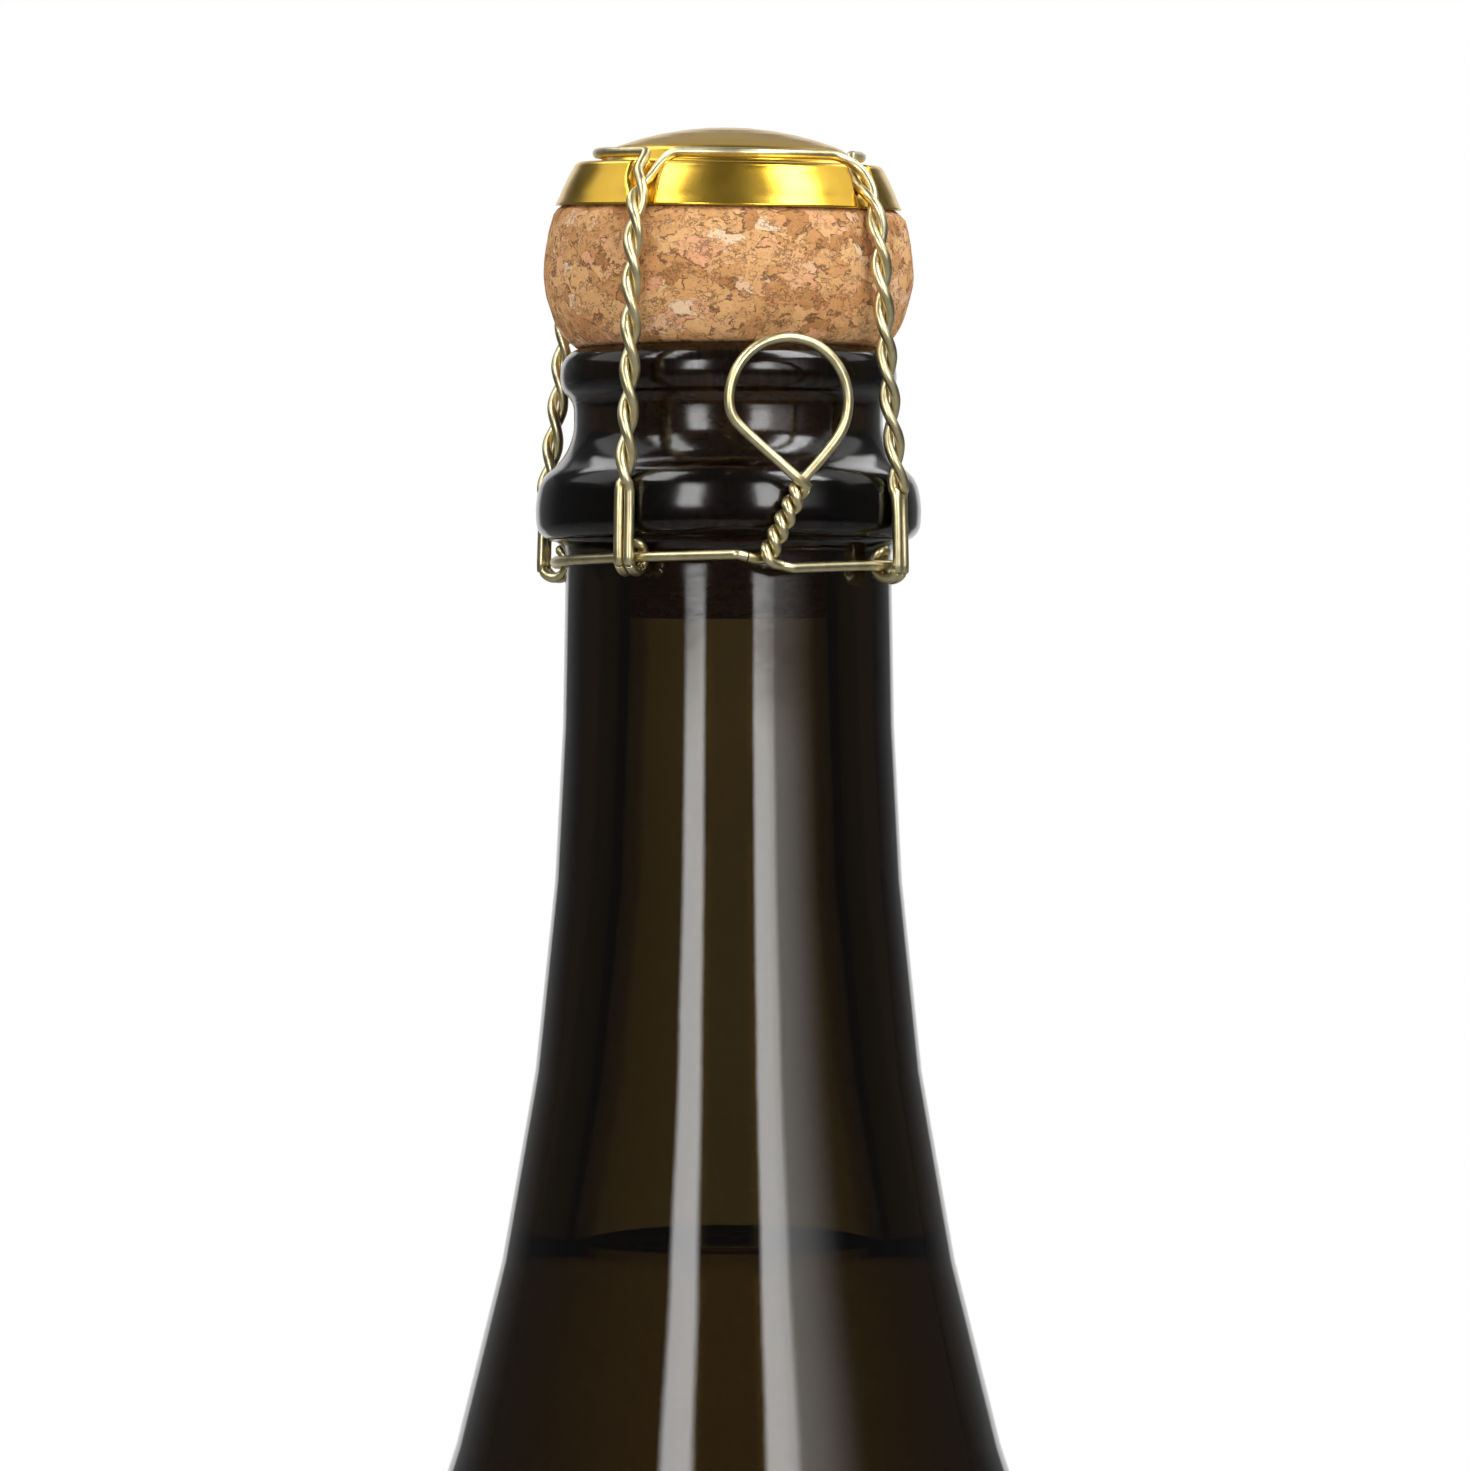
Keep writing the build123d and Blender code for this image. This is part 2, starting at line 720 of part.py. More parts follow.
def make_parts():
    """Every piece of the bottle by name."""
    parts = {
        "glass_bottle": make_glass(),
        "wine": make_wine(),
        "cork_body": make_cork_body(),
        "cork_disc_upper": make_disc(cork_depth - disc_thickness),
        "cork_disc_lower": make_disc(cork_depth),
        "cap_disc": make_cap(),
        "belt_wire": make_belt(),
        "pull_loop": make_pull_loop(),
    }
    for name, azimuths in leg_azimuths.items():
        parts[name] = make_leg(azimuths)
    return parts


os.makedirs("parts", exist_ok=True)
for name, shape in make_parts().items():
    export_step(shape, f"parts/{name}.step")
    print(name, "volume", round(shape.volume, 2), "solids", len(shape.solids()))
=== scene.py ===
# %% [markdown]
# # A sparkling wine bottle with its cork, crown cap and twisted wire cage
#
# The solids of every piece come in first, as a frame that nothing here may move. The lip's height, the
# body's radius, the fill line and the wires' routes are measured from them, and each finer piece is made in
# the place of its solid.

# %% Load the solids and measure them
from math import acos, asin, atan2, cos, degrees, hypot, log, pi, radians, sin, sqrt

import bmesh
import bpy
from mathutils import Matrix, Vector, noise


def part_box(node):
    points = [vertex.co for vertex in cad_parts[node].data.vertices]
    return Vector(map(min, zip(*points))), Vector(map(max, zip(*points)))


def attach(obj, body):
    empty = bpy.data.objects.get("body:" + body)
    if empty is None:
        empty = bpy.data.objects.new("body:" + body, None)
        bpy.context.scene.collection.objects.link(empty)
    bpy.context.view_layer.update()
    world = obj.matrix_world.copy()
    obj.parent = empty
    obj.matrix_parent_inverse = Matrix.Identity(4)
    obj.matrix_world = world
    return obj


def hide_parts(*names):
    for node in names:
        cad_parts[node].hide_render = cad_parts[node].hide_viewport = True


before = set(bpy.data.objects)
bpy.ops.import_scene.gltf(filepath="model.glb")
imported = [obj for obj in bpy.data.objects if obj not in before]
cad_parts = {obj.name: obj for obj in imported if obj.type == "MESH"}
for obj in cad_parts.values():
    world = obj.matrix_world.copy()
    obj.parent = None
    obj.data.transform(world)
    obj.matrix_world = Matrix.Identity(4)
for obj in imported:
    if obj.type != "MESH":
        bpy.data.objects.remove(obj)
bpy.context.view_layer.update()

glass_low, glass_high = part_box("glass_bottle")
mm = 0.001
lip_top = glass_high.z
body_radius = glass_high.x
print("lip at", round(lip_top / mm, 2), "mm, body radius", round(body_radius / mm, 2), "mm")

# %% [markdown]
# ## The camera
#
# The photograph looks level at the bottle's neck from close by. Its scale where the bottle's axis stands
# and the distance give the lens; the camera stands a little right of the axis, because the axis lies a few
# pixels left of the picture's middle.

# %% Place the camera
photo_width_px = 1470
photo_height_px = 1471
photo_axis_px = 728.5
photo_pixels_per_metre = 11.4 / mm
camera_distance = 600 * mm
camera_drop = 33.465 * mm
sensor_mm = 36.0

camera_data = bpy.data.cameras.new("camera")
camera_data.sensor_width = sensor_mm
camera_data.lens = sensor_mm * camera_distance * photo_pixels_per_metre / photo_height_px
camera = bpy.data.objects.new("camera", camera_data)
camera_side = (photo_width_px / 2 - photo_axis_px) / photo_pixels_per_metre
camera.location = (camera_side, -camera_distance, lip_top - camera_drop)
camera.rotation_euler = (radians(90), 0, 0)
bpy.context.scene.collection.objects.link(camera)
bpy.context.scene.camera = camera
bpy.context.scene.view_settings.view_transform = "Standard"
print("lens", round(camera_data.lens, 1), "mm")

# %% [markdown]
# ## Shader sums written as Python
#
# A material is a web of nodes. Wiring each sum by hand hides what it says, so one small class wraps a
# node's output and lets Python's own operators add the Math nodes. Everything that isn't a sum comes from
# one method, which takes a node's type, its settings and its sockets. The lights and the air have such
# webs too, so that method belongs to any tree of nodes, and a material's finish is one kind of tree.


# %% A signal, a tree of nodes and a finish
class Signal:
    """The output of a node, with which Python can do sums."""

    def __init__(self, nodes, socket):
        self.nodes = nodes
        self.socket = socket

    def sum(self, operation, *values):
        """The output of a new Math node."""
        return self.nodes.node("ShaderNodeMath", {"operation": operation}, dict(enumerate(values)))

    def __add__(self, other):
        return self.sum("ADD", self, other)

    def __radd__(self, other):
        return self.sum("ADD", other, self)

    def __sub__(self, other):
        return self.sum("SUBTRACT", self, other)

    def __rsub__(self, other):
        return self.sum("SUBTRACT", other, self)

    def __mul__(self, other):
        return self.sum("MULTIPLY", self, other)

    def __rmul__(self, other):
        return self.sum("MULTIPLY", other, self)

    def size(self):
        """The value without its sign."""
        return self.sum("ABSOLUTE", self)

    def at_least(self, other):
        """The larger of the two."""
        return self.sum("MAXIMUM", self, other)

    def rise(self, start, end):
        """0 below start, 1 above end, and smooth between them; start may be the larger."""
        settings = {"interpolation_type": "SMOOTHSTEP", "clamp": True}
        return self.nodes.node("ShaderNodeMapRange", settings, {0: self, 1: start, 2: end})

    def other(self, name):
        """Another output of the node that this one comes from."""
        return Signal(self.nodes, self.socket.node.outputs[name])


class Nodes:
    """A tree whose nodes are made by type."""

    def __init__(self, tree):
        self.tree = tree

    def node(self, kind, settings=None, sockets=None, output=0):
        """Adds a node: its settings first, then its sockets, and returns one of its outputs."""
        node = self.tree.nodes.new(kind)
        for name, value in (settings or {}).items():
            if name == "stops":
                self.set_stops(node.color_ramp.elements, value)
            else:
                setattr(node, name, value)
        for name, value in (sockets or {}).items():
            self.feed(node.inputs[name], value)
        return Signal(self, node.outputs[output])

    def feed(self, socket, value):
        """Links a signal to a socket, or sets the socket to a plain value."""
        if isinstance(value, Signal):
            self.tree.links.new(value.socket, socket)
        else:
            socket.default_value = value

    def set_stops(self, elements, stops):
        """Gives a colour ramp its places and colours."""
        while len(elements) < len(stops):
            elements.new(1)
        for element, (place, colour) in zip(elements, stops):
            element.position = place
            element.color = (*colour, 1)

    def mix(self, share, one, two):
        """The colour one where share is 0, two where it is 1."""
        sockets = {"Factor": share, "A": one, "B": two}
        return self.node("ShaderNodeMix", {"data_type": "RGBA"}, sockets, "Result")

    def vector(self, operation, *values, **named):
        """A sum of vectors, such as ADD or SCALE."""
        sockets = dict(enumerate(values)) | named
        return self.node("ShaderNodeVectorMath", {"operation": operation}, sockets)

    def ray(self, kind):
        """1 for rays of a kind, such as Camera, and 0 for all others."""
        return self.node("ShaderNodeLightPath", None, None, "Is " + kind + " Ray")

    def place(self, stretch=(1, 1, 1)):
        """The object's own coordinates, in metres times stretch."""
        place = self.node("ShaderNodeTexCoord", None, None, "Object")
        return self.node("ShaderNodeMapping", None, {"Vector": place, "Scale": stretch})

    def texture(self, place, scale, detail=2.0, roughness=0.5):
        """Noise from 0 to 1."""
        sockets = {"Vector": place, "Scale": scale, "Detail": detail, "Roughness": roughness}
        return self.node("ShaderNodeTexNoise", None, sockets)

    def bump(self, height, distance, strength):
        """Normal of a relief that is distance deep where height goes from 0 to 1."""
        sockets = {"Height": height, "Distance": distance, "Strength": strength}
        return self.node("ShaderNodeBump", None, sockets)


class Finish(Nodes):
    """A material, empty but for its output."""

    def __init__(self, name):
        self.material = bpy.data.materials.new(name)
        self.material.use_nodes = True
        super().__init__(self.material.node_tree)
        self.tree.nodes.clear()
        self.output = self.tree.nodes.new("ShaderNodeOutputMaterial")

    def surface(self, **sockets):
        """Feeds the main shader to the output; its sockets are named as words joined by underscores."""
        named = {name.replace("_", " "): value for name, value in sockets.items()}
        self.feed(self.output.inputs["Surface"], self.node("ShaderNodeBsdfPrincipled", None, named))


def grey(level):
    """A neutral colour."""
    return (level, level, level, 1)


# %% [markdown]
# ## The floor and the wall
#
# Dark glass shows what it reflects and what shines through it, so the studio does the drawing. A plain
# white wall would make the neck glow brown and give it thin bright edges, but it would also show in the
# glass's sides as broad grey bands. So floor and wall are pale paint that glows only for some rays. It
# glows for rays through glass, less towards the sides, and for the camera, which makes the background
# white. In reflections only the wall's middle glows. From behind, the wall is clear. Near the bottle the
# floor doesn't glow for the camera, so that the shadow stays.

# %% Mix the paint
white_light = 1.0
pale_paint = 0.8
paint_cloud = 0.04
paint_cloud_scale = 6.0
glossy_paint = 0.3
wall_half_width = 0.5
wall_soft_edge = 0.05
shadow_near = 0.2
shadow_far = 0.8
side_near = 0.3
side_middle = 0.7
side_far = 2.6
side_middle_glow = 0.32


class StageFinish(Finish):
    """Rolled pale paint, darker in reflections, and its glow for rays through glass."""

    def __init__(self, name):
        super().__init__(name)
        self.spot = self.place()
        self.sideways = self.node("ShaderNodeSeparateXYZ", None, {0: self.spot}).size()
        cloud = self.texture(self.spot, paint_cloud_scale)
        paint = self.mix(cloud, grey(pale_paint), grey(pale_paint + paint_cloud))
        self.paint = self.mix(self.ray("Glossy"), paint, grey(glossy_paint))
        near_glow = self.sideways.rise(side_middle, side_near) * (1 - side_middle_glow)
        far_glow = self.sideways.rise(side_far, side_middle) * side_middle_glow
        self.through = self.ray("Transmission") * (near_glow + far_glow)

    def shine(self, glow, clear_share=None):
        """Feeds the paint to the output, white where glow is 1 and clear where clear_share is 1."""
        dull = self.node("ShaderNodeBsdfDiffuse", None, {"Color": self.paint})
        white = self.node("ShaderNodeEmission", None, {"Color": grey(white_light), "Strength": white_light})
        shader = self.node("ShaderNodeMixShader", None, {0: glow, 1: dull, 2: white})
        if clear_share:
            clear = self.node("ShaderNodeBsdfTransparent")
            shader = self.node("ShaderNodeMixShader", None, {0: clear_share, 1: shader, 2: clear})
        self.feed(self.output.inputs["Surface"], shader)


def floor_finish():
    """The floor keeps the bottle's shadow and turns white further away."""
    finish = StageFinish("pale_floor")
    settings = {"gradient_type": "SPHERICAL"}
    nearness = finish.node("ShaderNodeTexGradient", settings, {"Vector": finish.spot}, "Fac")
    far = nearness.rise(1 - shadow_near, 1 - shadow_far)
    finish.shine(finish.through.at_least(finish.ray("Camera") * far))
    return finish


def wall_finish():
    """The wall is white to the camera, and in reflections only in its middle."""
    finish = StageFinish("white_wall")
    middle = finish.sideways.rise(wall_half_width + wall_soft_edge, wall_half_width - wall_soft_edge)
    glow = finish.through.at_least(finish.ray("Camera")).at_least(finish.ray("Glossy") * middle)
    finish.shine(glow, finish.node("ShaderNodeNewGeometry", None, None, "Backfacing"))
    return finish


# %% Lay the floor and stand the wall up
wall_distance = 1.1
wall_top = 0.74
stage_half = 1.8


def stage_plane(name, finish, half_width, half_height, matrix):
    """A flat stage piece that isn't part of the bottle."""
    bm = bmesh.new()
    bmesh.ops.create_grid(bm, x_segments=1, y_segments=1, size=1)
    bmesh.ops.scale(bm, vec=(half_width, half_height, 1), verts=bm.verts)
    bmesh.ops.transform(bm, matrix=matrix, verts=bm.verts)
    mesh = bpy.data.meshes.new(name)
    bm.to_mesh(mesh)
    bm.free()
    plane = bpy.data.objects.new(name, mesh)
    bpy.context.scene.collection.objects.link(plane)
    mesh.materials.append(finish.material)


stage_plane("floor", floor_finish(), stage_half, stage_half, Matrix.Identity(4))
stand_up = Matrix.Translation((0, wall_distance, wall_top / 2)) @ Matrix.Rotation(radians(90), 4, "X")
stage_plane("wall", wall_finish(), stage_half, wall_top / 2, stand_up)
print("wall", wall_distance, "m behind the bottle")

# %% [markdown]
# ## The air
#
# The camera sees white air round the stage. As a light that air would wash out the glass, so for all other
# rays it is faint, and leaves the drawing to the softboxes.

# %% Light the air
air_light = 0.08

world = bpy.data.worlds.new("studio_air")
bpy.context.scene.world = world
world.use_nodes = True
air = Nodes(world.node_tree)
background = air.tree.nodes["Background"]
air.feed(background.inputs["Color"], grey(white_light))
air.feed(background.inputs["Strength"], air.ray("Camera") * (white_light - air_light) + air_light)
print("air lights with", air_light, "of white")

# %% [markdown]
# ## The softboxes
#
# Each light is a flat softbox that faces the bottle's closure. Two tall ones in front draw the long strips
# in the neck, and a wide dim one beyond the right one makes the right strip fade outwards. Higher ones in
# front and at the sides light the cap, the cork and the wires, and those behind light their rims. A light
# with hard edges would cut its strip out with a knife, so each fades in from its edges.

# %% Hang the softboxes
soft_edges = (0.2, 0.2, 0.02)
softboxes = {
    "left": ((-0.385, -0.90, 0.300), (-0.35, -0.855, 0.76), 0.30, 8.0, (0.25, 0.25, 0.08)),
    "right": ((0.405, -0.880, 0.300), (0.37, -0.835, 0.76), 0.31, 8.0, (0.20, 0.42, 0.08)),
    "right_tail": ((0.70, -0.673, 0.300), (0.66, -0.635, 0.76), 0.62, 2.2, (0.04, 0.95, 0.08)),
    "high_left": ((-0.64, -0.47, 0.82), (-0.52, -0.36, 1.65), 0.42, 6.0, soft_edges),
    "high_right": ((0.64, -0.43, 0.82), (0.52, -0.33, 1.65), 0.50, 9.5, soft_edges),
    "side_left": ((-1.00, 0.20, 0.72), (-0.76, 0.12, 1.50), 0.90, 0.9, soft_edges),
    "side_right": ((1.00, 0.20, 0.72), (0.76, 0.12, 1.50), 0.90, 0.9, soft_edges),
    "back_top": ((0, 1.00, 0.80), (0, 0.72, 1.50), 1.30, 0.33, soft_edges),
    "back_left": ((-0.53, 0.70, 0.95), (-0.28, 0.10, 1.35), 0.36, 3.0, soft_edges),
    "back_right": ((0.48, 0.80, 0.86), (0.55, 0.47, 1.13), 0.36, 3.0, soft_edges),
}


def softbox(name, low, high, width, radiance, fades):
    """Area light that faces the bottle's closure.

    It reaches from the point low, the middle of its lower edge, to the point high. Seen from behind it,
    it fades in from its left, its right and its lower edge, over the shares fades of its width or height.
    """
    low, high = Vector(low), Vector(high)
    middle = (low + high) / 2
    up = (high - low).normalized()
    away = middle - Vector((0, 0, lip_top))
    away = (away - up * away.dot(up)).normalized()
    light = bpy.data.lights.new(name, "AREA")
    light.shape = "RECTANGLE"
    light.size = width
    light.size_y = (high - low).length
    light.energy = radiance * pi * light.size * light.size_y
    lamp = bpy.data.objects.new(name, light)
    turn = Matrix((up.cross(away), up, away)).transposed()
    lamp.matrix_world = Matrix.Translation(middle) @ turn.to_4x4()
    bpy.context.scene.collection.objects.link(lamp)
    light.use_nodes = True
    nodes = Nodes(light.node_tree)
    spot = nodes.node("ShaderNodeNewGeometry", None, None, "Parametric")
    across = nodes.node("ShaderNodeSeparateXYZ", None, {0: spot}, "X")
    left, right, below = fades
    strength = across.rise(0, left) * across.rise(1, 1 - right) * across.other("Y").rise(0, below)
    nodes.feed(nodes.tree.nodes["Emission"].inputs["Strength"], strength)


for place, sizes in softboxes.items():
    softbox("softbox_" + place, *sizes)
print(len(softboxes), "softboxes")

# %% [markdown]
# ## Turning a piece
#
# The bottle, the wine, the cork and the cap are all round. Each is drawn as half an outline, radius and
# height, and spun about the axis. The outline's curves are arcs, worked out from a centre, a radius and
# two angles, so that the reflections run over them without a kink.

# %% Helpers for turned pieces
arc_step = 4.0
spin_steps = 144
merge_distance = 0.002 * mm


def arc(centre, radius, start, sweep):
    """Points on an arc in the outline's plane, both ends included."""
    count = max(2, round(abs(sweep) / arc_step))
    angles = [radians(start + sweep * index / count) for index in range(count + 1)]
    return [(centre[0] + radius * cos(angle), centre[1] + radius * sin(angle)) for angle in angles]


def on_circle(centre, radius, angle):
    """Point on a circle in the outline's plane."""
    return (centre[0] + radius * cos(radians(angle)), centre[1] + radius * sin(radians(angle)))


def heading(start, end):
    """Angle in degrees of the line from start to end."""
    return degrees(atan2(end[1] - start[1], end[0] - start[0]))


def finish_mesh(name, bm):
    """Turns a bmesh into an object at the origin with smooth faces."""
    for face in bm.faces:
        face.smooth = True
    mesh = bpy.data.meshes.new(name)
    bm.to_mesh(mesh)
    bm.free()
    piece = bpy.data.objects.new(name, mesh)
    bpy.context.scene.collection.objects.link(piece)
    print(name, "has", len(mesh.polygons), "faces")
    return piece


def turned(outline, steps=spin_steps):
    """A bmesh spun from an outline of radius and height in metres."""
    bm = bmesh.new()
    verts = [bm.verts.new((radius, 0, height)) for radius, height in outline]
    edges = [bm.edges.new(pair) for pair in zip(verts, verts[1:])]
    bmesh.ops.spin(
        bm, geom=verts + edges, cent=(0, 0, 0), axis=(0, 0, 1), angle=2 * pi, steps=steps, use_merge=True
    )
    bmesh.ops.remove_doubles(bm, verts=bm.verts, dist=merge_distance)
    bmesh.ops.recalc_face_normals(bm, faces=bm.faces)
    return bm


# %% [markdown]
# ## The glass
#
# The bottle is thick dark glass: a rounded lip, a waist that the wire cage spans, a collar that its feet
# grip under, then the neck, which flares slowly into a long sloping shoulder. It could be a thin shell
# with a solidify modifier, but real glass has its own inner form, a straight bore and a deep punt, and
# light bends through both walls. So one outline goes up the inside, over the lip and down the outside.

# %% Sizes of the glass
lip_radius = 14.75 * mm
lip_round = 2.0 * mm
lip_face_round = 3.2 * mm
lip_face_angle = 20.0
lip_under_round = 1.5 * mm
lip_under_depth = 3.1 * mm
waist_radius = 13.55 * mm
waist_round = 1.9 * mm
waist_side = 0.95 * mm
cove_round = 5.4 * mm
collar_radius = 16.9 * mm
collar_round = 2.8 * mm
collar_depth = 16.4 * mm
collar_corner = 1.6 * mm
collar_face_round = 8.5 * mm
collar_face_angle = 14.0
neck_radius = 14.3 * mm
neck_fillet = 1.4 * mm
flare_depth = 19.0 * mm
flare_radius = 400 * mm
flare_angle = 3.9
hollow_radius = 238 * mm
shoulder_angle = 24.0
wall = 5.8 * mm
heel_radius = 10 * mm
foot_flat = 2 * mm
foot_round = 4 * mm
punt_height = 33 * mm
punt_slope = 65.0
punt_thickness = 7 * mm
base_thickness = 5 * mm
valley_round = 5 * mm
bore_radius = 8.75 * mm
bore_depth = 26 * mm
mouth_round = 0.5 * mm
outline_step = 6 * mm
print("glass", round((glass_high.z - glass_low.z) / mm, 1), "mm tall, walls", round(wall / mm, 1), "mm")

# %% [markdown]
# ## The mouth of the bottle
#
# The lip is rolled outwards, the waist under it is hollow, and the collar is a ring with a full front and
# a flat underside. Points picked by eye would leave kinks that every reflection shows. Here each form is
# an arc or two, and an arc's centre lies where its circle touches the circle above it.


# %% Outline from the lip to the neck
def touching_below(near, near_radius, far_x, far_radius):
    """Centre below near, at far_x, of a circle that touches the one at near from outside."""
    reach = near_radius + far_radius
    return (far_x, near[1] - sqrt(reach**2 - (far_x - near[0]) ** 2))


def lip_to_waist():
    """Outline from the lip's flat top down into the waist, and the centre of the cove that follows."""
    face_height = lip_top - lip_under_depth + lip_face_round * sin(radians(lip_face_angle))
    face = (lip_radius - lip_face_round, face_height)
    lip = on_circle(face, lip_face_round - lip_round, lip_face_angle)
    under = on_circle(face, lip_face_round - lip_under_round, -lip_face_angle)
    waist = touching_below(under, lip_under_round, waist_radius + waist_round, waist_round)
    under_angle = heading(under, waist)
    outline = arc(lip, lip_round, 90, lip_face_angle - 90)
    outline += arc(face, lip_face_round, lip_face_angle, -2 * lip_face_angle)[1:]
    outline += arc(under, lip_under_round, -lip_face_angle, under_angle + lip_face_angle)[1:]
    outline += arc(waist, waist_round, 180 + under_angle, -under_angle)
    return outline, (waist_radius + cove_round, waist[1] - waist_side)


def cove_to_neck(cove):
    """Outline from the cove over the collar's full front and flat underside to the neck."""
    face_inside = collar_face_round - collar_round
    collar_x = collar_radius - collar_face_round + face_inside * cos(radians(collar_face_angle))
    collar = touching_below(cove, cove_round, collar_x, collar_round)
    face = on_circle(collar, -face_inside, collar_face_angle)
    corner_height = lip_top - collar_depth + collar_corner
    corner_inside = collar_face_round - collar_corner
    corner_angle = -degrees(asin((face[1] - corner_height) / corner_inside))
    corner = on_circle(face, corner_inside, corner_angle)
    cove_angle = heading(cove, collar)
    fillet = (neck_radius + neck_fillet, lip_top - collar_depth - neck_fillet)
    outline = arc(cove, cove_round, 180, cove_angle + 180)
    outline += arc(collar, collar_round, cove_angle + 180, collar_face_angle - 180 - cove_angle)
    outline += arc(face, collar_face_round, collar_face_angle, corner_angle - collar_face_angle)[1:]
    outline += arc(corner, collar_corner, corner_angle, -90 - corner_angle)[1:]
    return outline + arc(fillet, neck_fillet, 90, 90)


waist_outline, cove_centre = lip_to_waist()
mouth_outline = waist_outline + cove_to_neck(cove_centre)
print("mouth outline has", len(mouth_outline), "points")

# %% [markdown]
# ## The neck, the shoulder and the punt
#
# The neck flares along one very large circle, runs into the hollow of the shoulder and then over its round
# into the straight side. The inside follows the same arcs, one wall further in. The punt, the deep hollow
# under the bottle, is a cone's flank between a rounded foot and a dome that touches it.


# %% Outlines of side, punt and inside
def side_arcs(inset):
    """Outline of the flaring neck and the sloping shoulder, moved inwards by inset."""
    flare = (neck_radius + flare_radius, lip_top - flare_depth)
    hollow = on_circle(on_circle(flare, flare_radius, 180 + flare_angle), hollow_radius, flare_angle)
    steepest = on_circle(hollow, hollow_radius, 180 + shoulder_angle)
    round_radius = (body_radius - steepest[0]) / (1 - cos(radians(shoulder_angle)))
    shoulder = on_circle(steepest, round_radius, 180 + shoulder_angle)
    neck = arc(flare, flare_radius + inset, 180, flare_angle)
    slope = arc(hollow, hollow_radius + inset, 180 + flare_angle, shoulder_angle - flare_angle)
    return neck, slope + arc(shoulder, round_radius - inset, shoulder_angle, -shoulder_angle)


def punt_arcs(centre, radius, height):
    """Outline from a rounded foot or valley up the punt's flank to the top of its dome."""
    foot = on_circle(centre, radius, 270 - punt_slope)
    slope = radians(punt_slope)
    across = sin(slope) * foot[0] - cos(slope) * (height - foot[1])
    dome_radius = across / (sin(slope) ** 2 - cos(slope) * (1 - cos(slope)))
    dome = arc((0, height - dome_radius), dome_radius, 90 - punt_slope, punt_slope)
    return arc(centre, radius, 270, -punt_slope) + dome


def inside_outline(inset):
    """Outline from the throat down the inner wall and over the punt, drawn in by inset."""
    slope = side_arcs(wall + inset)[1]
    valley = (body_radius - wall - valley_round, base_thickness + valley_round)
    floor = arc(valley, valley_round - inset, 0, -90)
    return slope + floor + punt_arcs(valley, valley_round - inset, punt_height + punt_thickness + inset)


def finer(outline, longest):
    """The outline with long straight stretches divided, so that no face is a long sliver."""
    points = [outline[0]]
    for start, end in zip(outline, outline[1:]):
        count = max(1, round(hypot(end[0] - start[0], end[1] - start[1]) / longest))
        for index in range(1, count + 1):
            share = index / count
            points.append((start[0] + (end[0] - start[0]) * share, start[1] + (end[1] - start[1]) * share))
    return points


# %% Turn the glass
def glass_outline():
    """Outline up the inside, over the lip, down the outside and into the punt."""
    mouth = (bore_radius + mouth_round, lip_top - mouth_round)
    throat = (bore_radius, lip_top - bore_depth)
    inside = inside_outline(0)[::-1] + [throat] + arc(mouth, mouth_round, 180, -90)
    neck, slope = side_arcs(0)
    heel = arc((body_radius - heel_radius, heel_radius), heel_radius, 0, -90)
    foot_centre = (body_radius - heel_radius - foot_flat, foot_round)
    return inside + mouth_outline + neck + slope + heel + punt_arcs(foot_centre, foot_round, punt_height)


glass = finish_mesh("bottle_glass", turned(finer(glass_outline(), outline_step)))
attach(glass, "bottle")
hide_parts("glass_bottle")

# %% [markdown]
# ## The wine
#
# The wine fills the inside up to a level in the neck. Where wine touches glass there is no air between
# them, so light passes almost straight. The wine's surface therefore reaches a hair into the glass: a ray
# then meets wine and glass in an order that bends it as the real wet wall does. At the top the wine
# climbs the wall in a small curve.

# %% Draw and turn the wine
fill_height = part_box("wine")[1].z
wet_overlap = 0.1 * mm
meniscus_rise = 1.2 * mm
meniscus_sweep = 80
wine_spin_steps = 96


def wine_outline():
    """Outline from the middle of the level over the meniscus and down the wet wall."""
    wet = inside_outline(-wet_overlap)
    below = [point for point in wet if point[1] < fill_height]
    above = [point for point in wet if point[1] >= fill_height][-1]
    share = (fill_height - below[0][1]) / (above[1] - below[0][1])
    edge = below[0][0] + (above[0] - below[0][0]) * share
    rise = arc((edge - meniscus_rise, fill_height + meniscus_rise), meniscus_rise, 270, meniscus_sweep)
    return [(0, fill_height)] + rise + below


wine = finish_mesh("wine_fill", turned(finer(wine_outline(), outline_step), wine_spin_steps))
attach(wine, "bottle")
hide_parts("wine")

# %% [markdown]
# ## Finishes of glass and wine
#
# Bottle glass isn't painted dark: it takes light away as the light goes through it, so thick places are
# black and thin ones brown-green. That is volume absorption inside a clear surface. Its strength follows
# from the walls: the photograph's neck lets about three hundredths of the wall's red light through its two
# sides, three fifths as much green and an eighth as much blue. The mouth was pressed in a mould and is a
# little less smooth than the blown neck.

# %% Mix the glass and the wine
glass_through = (0.0290, 0.0176, 0.0038)
wine_through = (0.99, 0.93, 0.80)
absorb_density = 1000.0
glass_index = 1.52
wine_index = 1.34
neck_rough = 0.03
mouth_rough = 0.14
mouth_rough_low = 24 * mm
mouth_rough_high = 17 * mm
wave_scale = 90.0
wave_share = 0.35
pit_scale = 900.0
pit_share = 0.035
glass_relief = 0.10 * mm
relief_strength = 0.6


def absorbing(finish, through, path):
    """Feeds the volume so that light left after a path through it has the colour through."""
    lost = [-log(share) / path for share in through]
    colour = [1 - loss / absorb_density for loss in lost]
    sockets = {"Color": (*colour, 1), "Density": absorb_density}
    finish.feed(finish.output.inputs["Volume"], finish.node("ShaderNodeVolumeAbsorption", None, sockets))


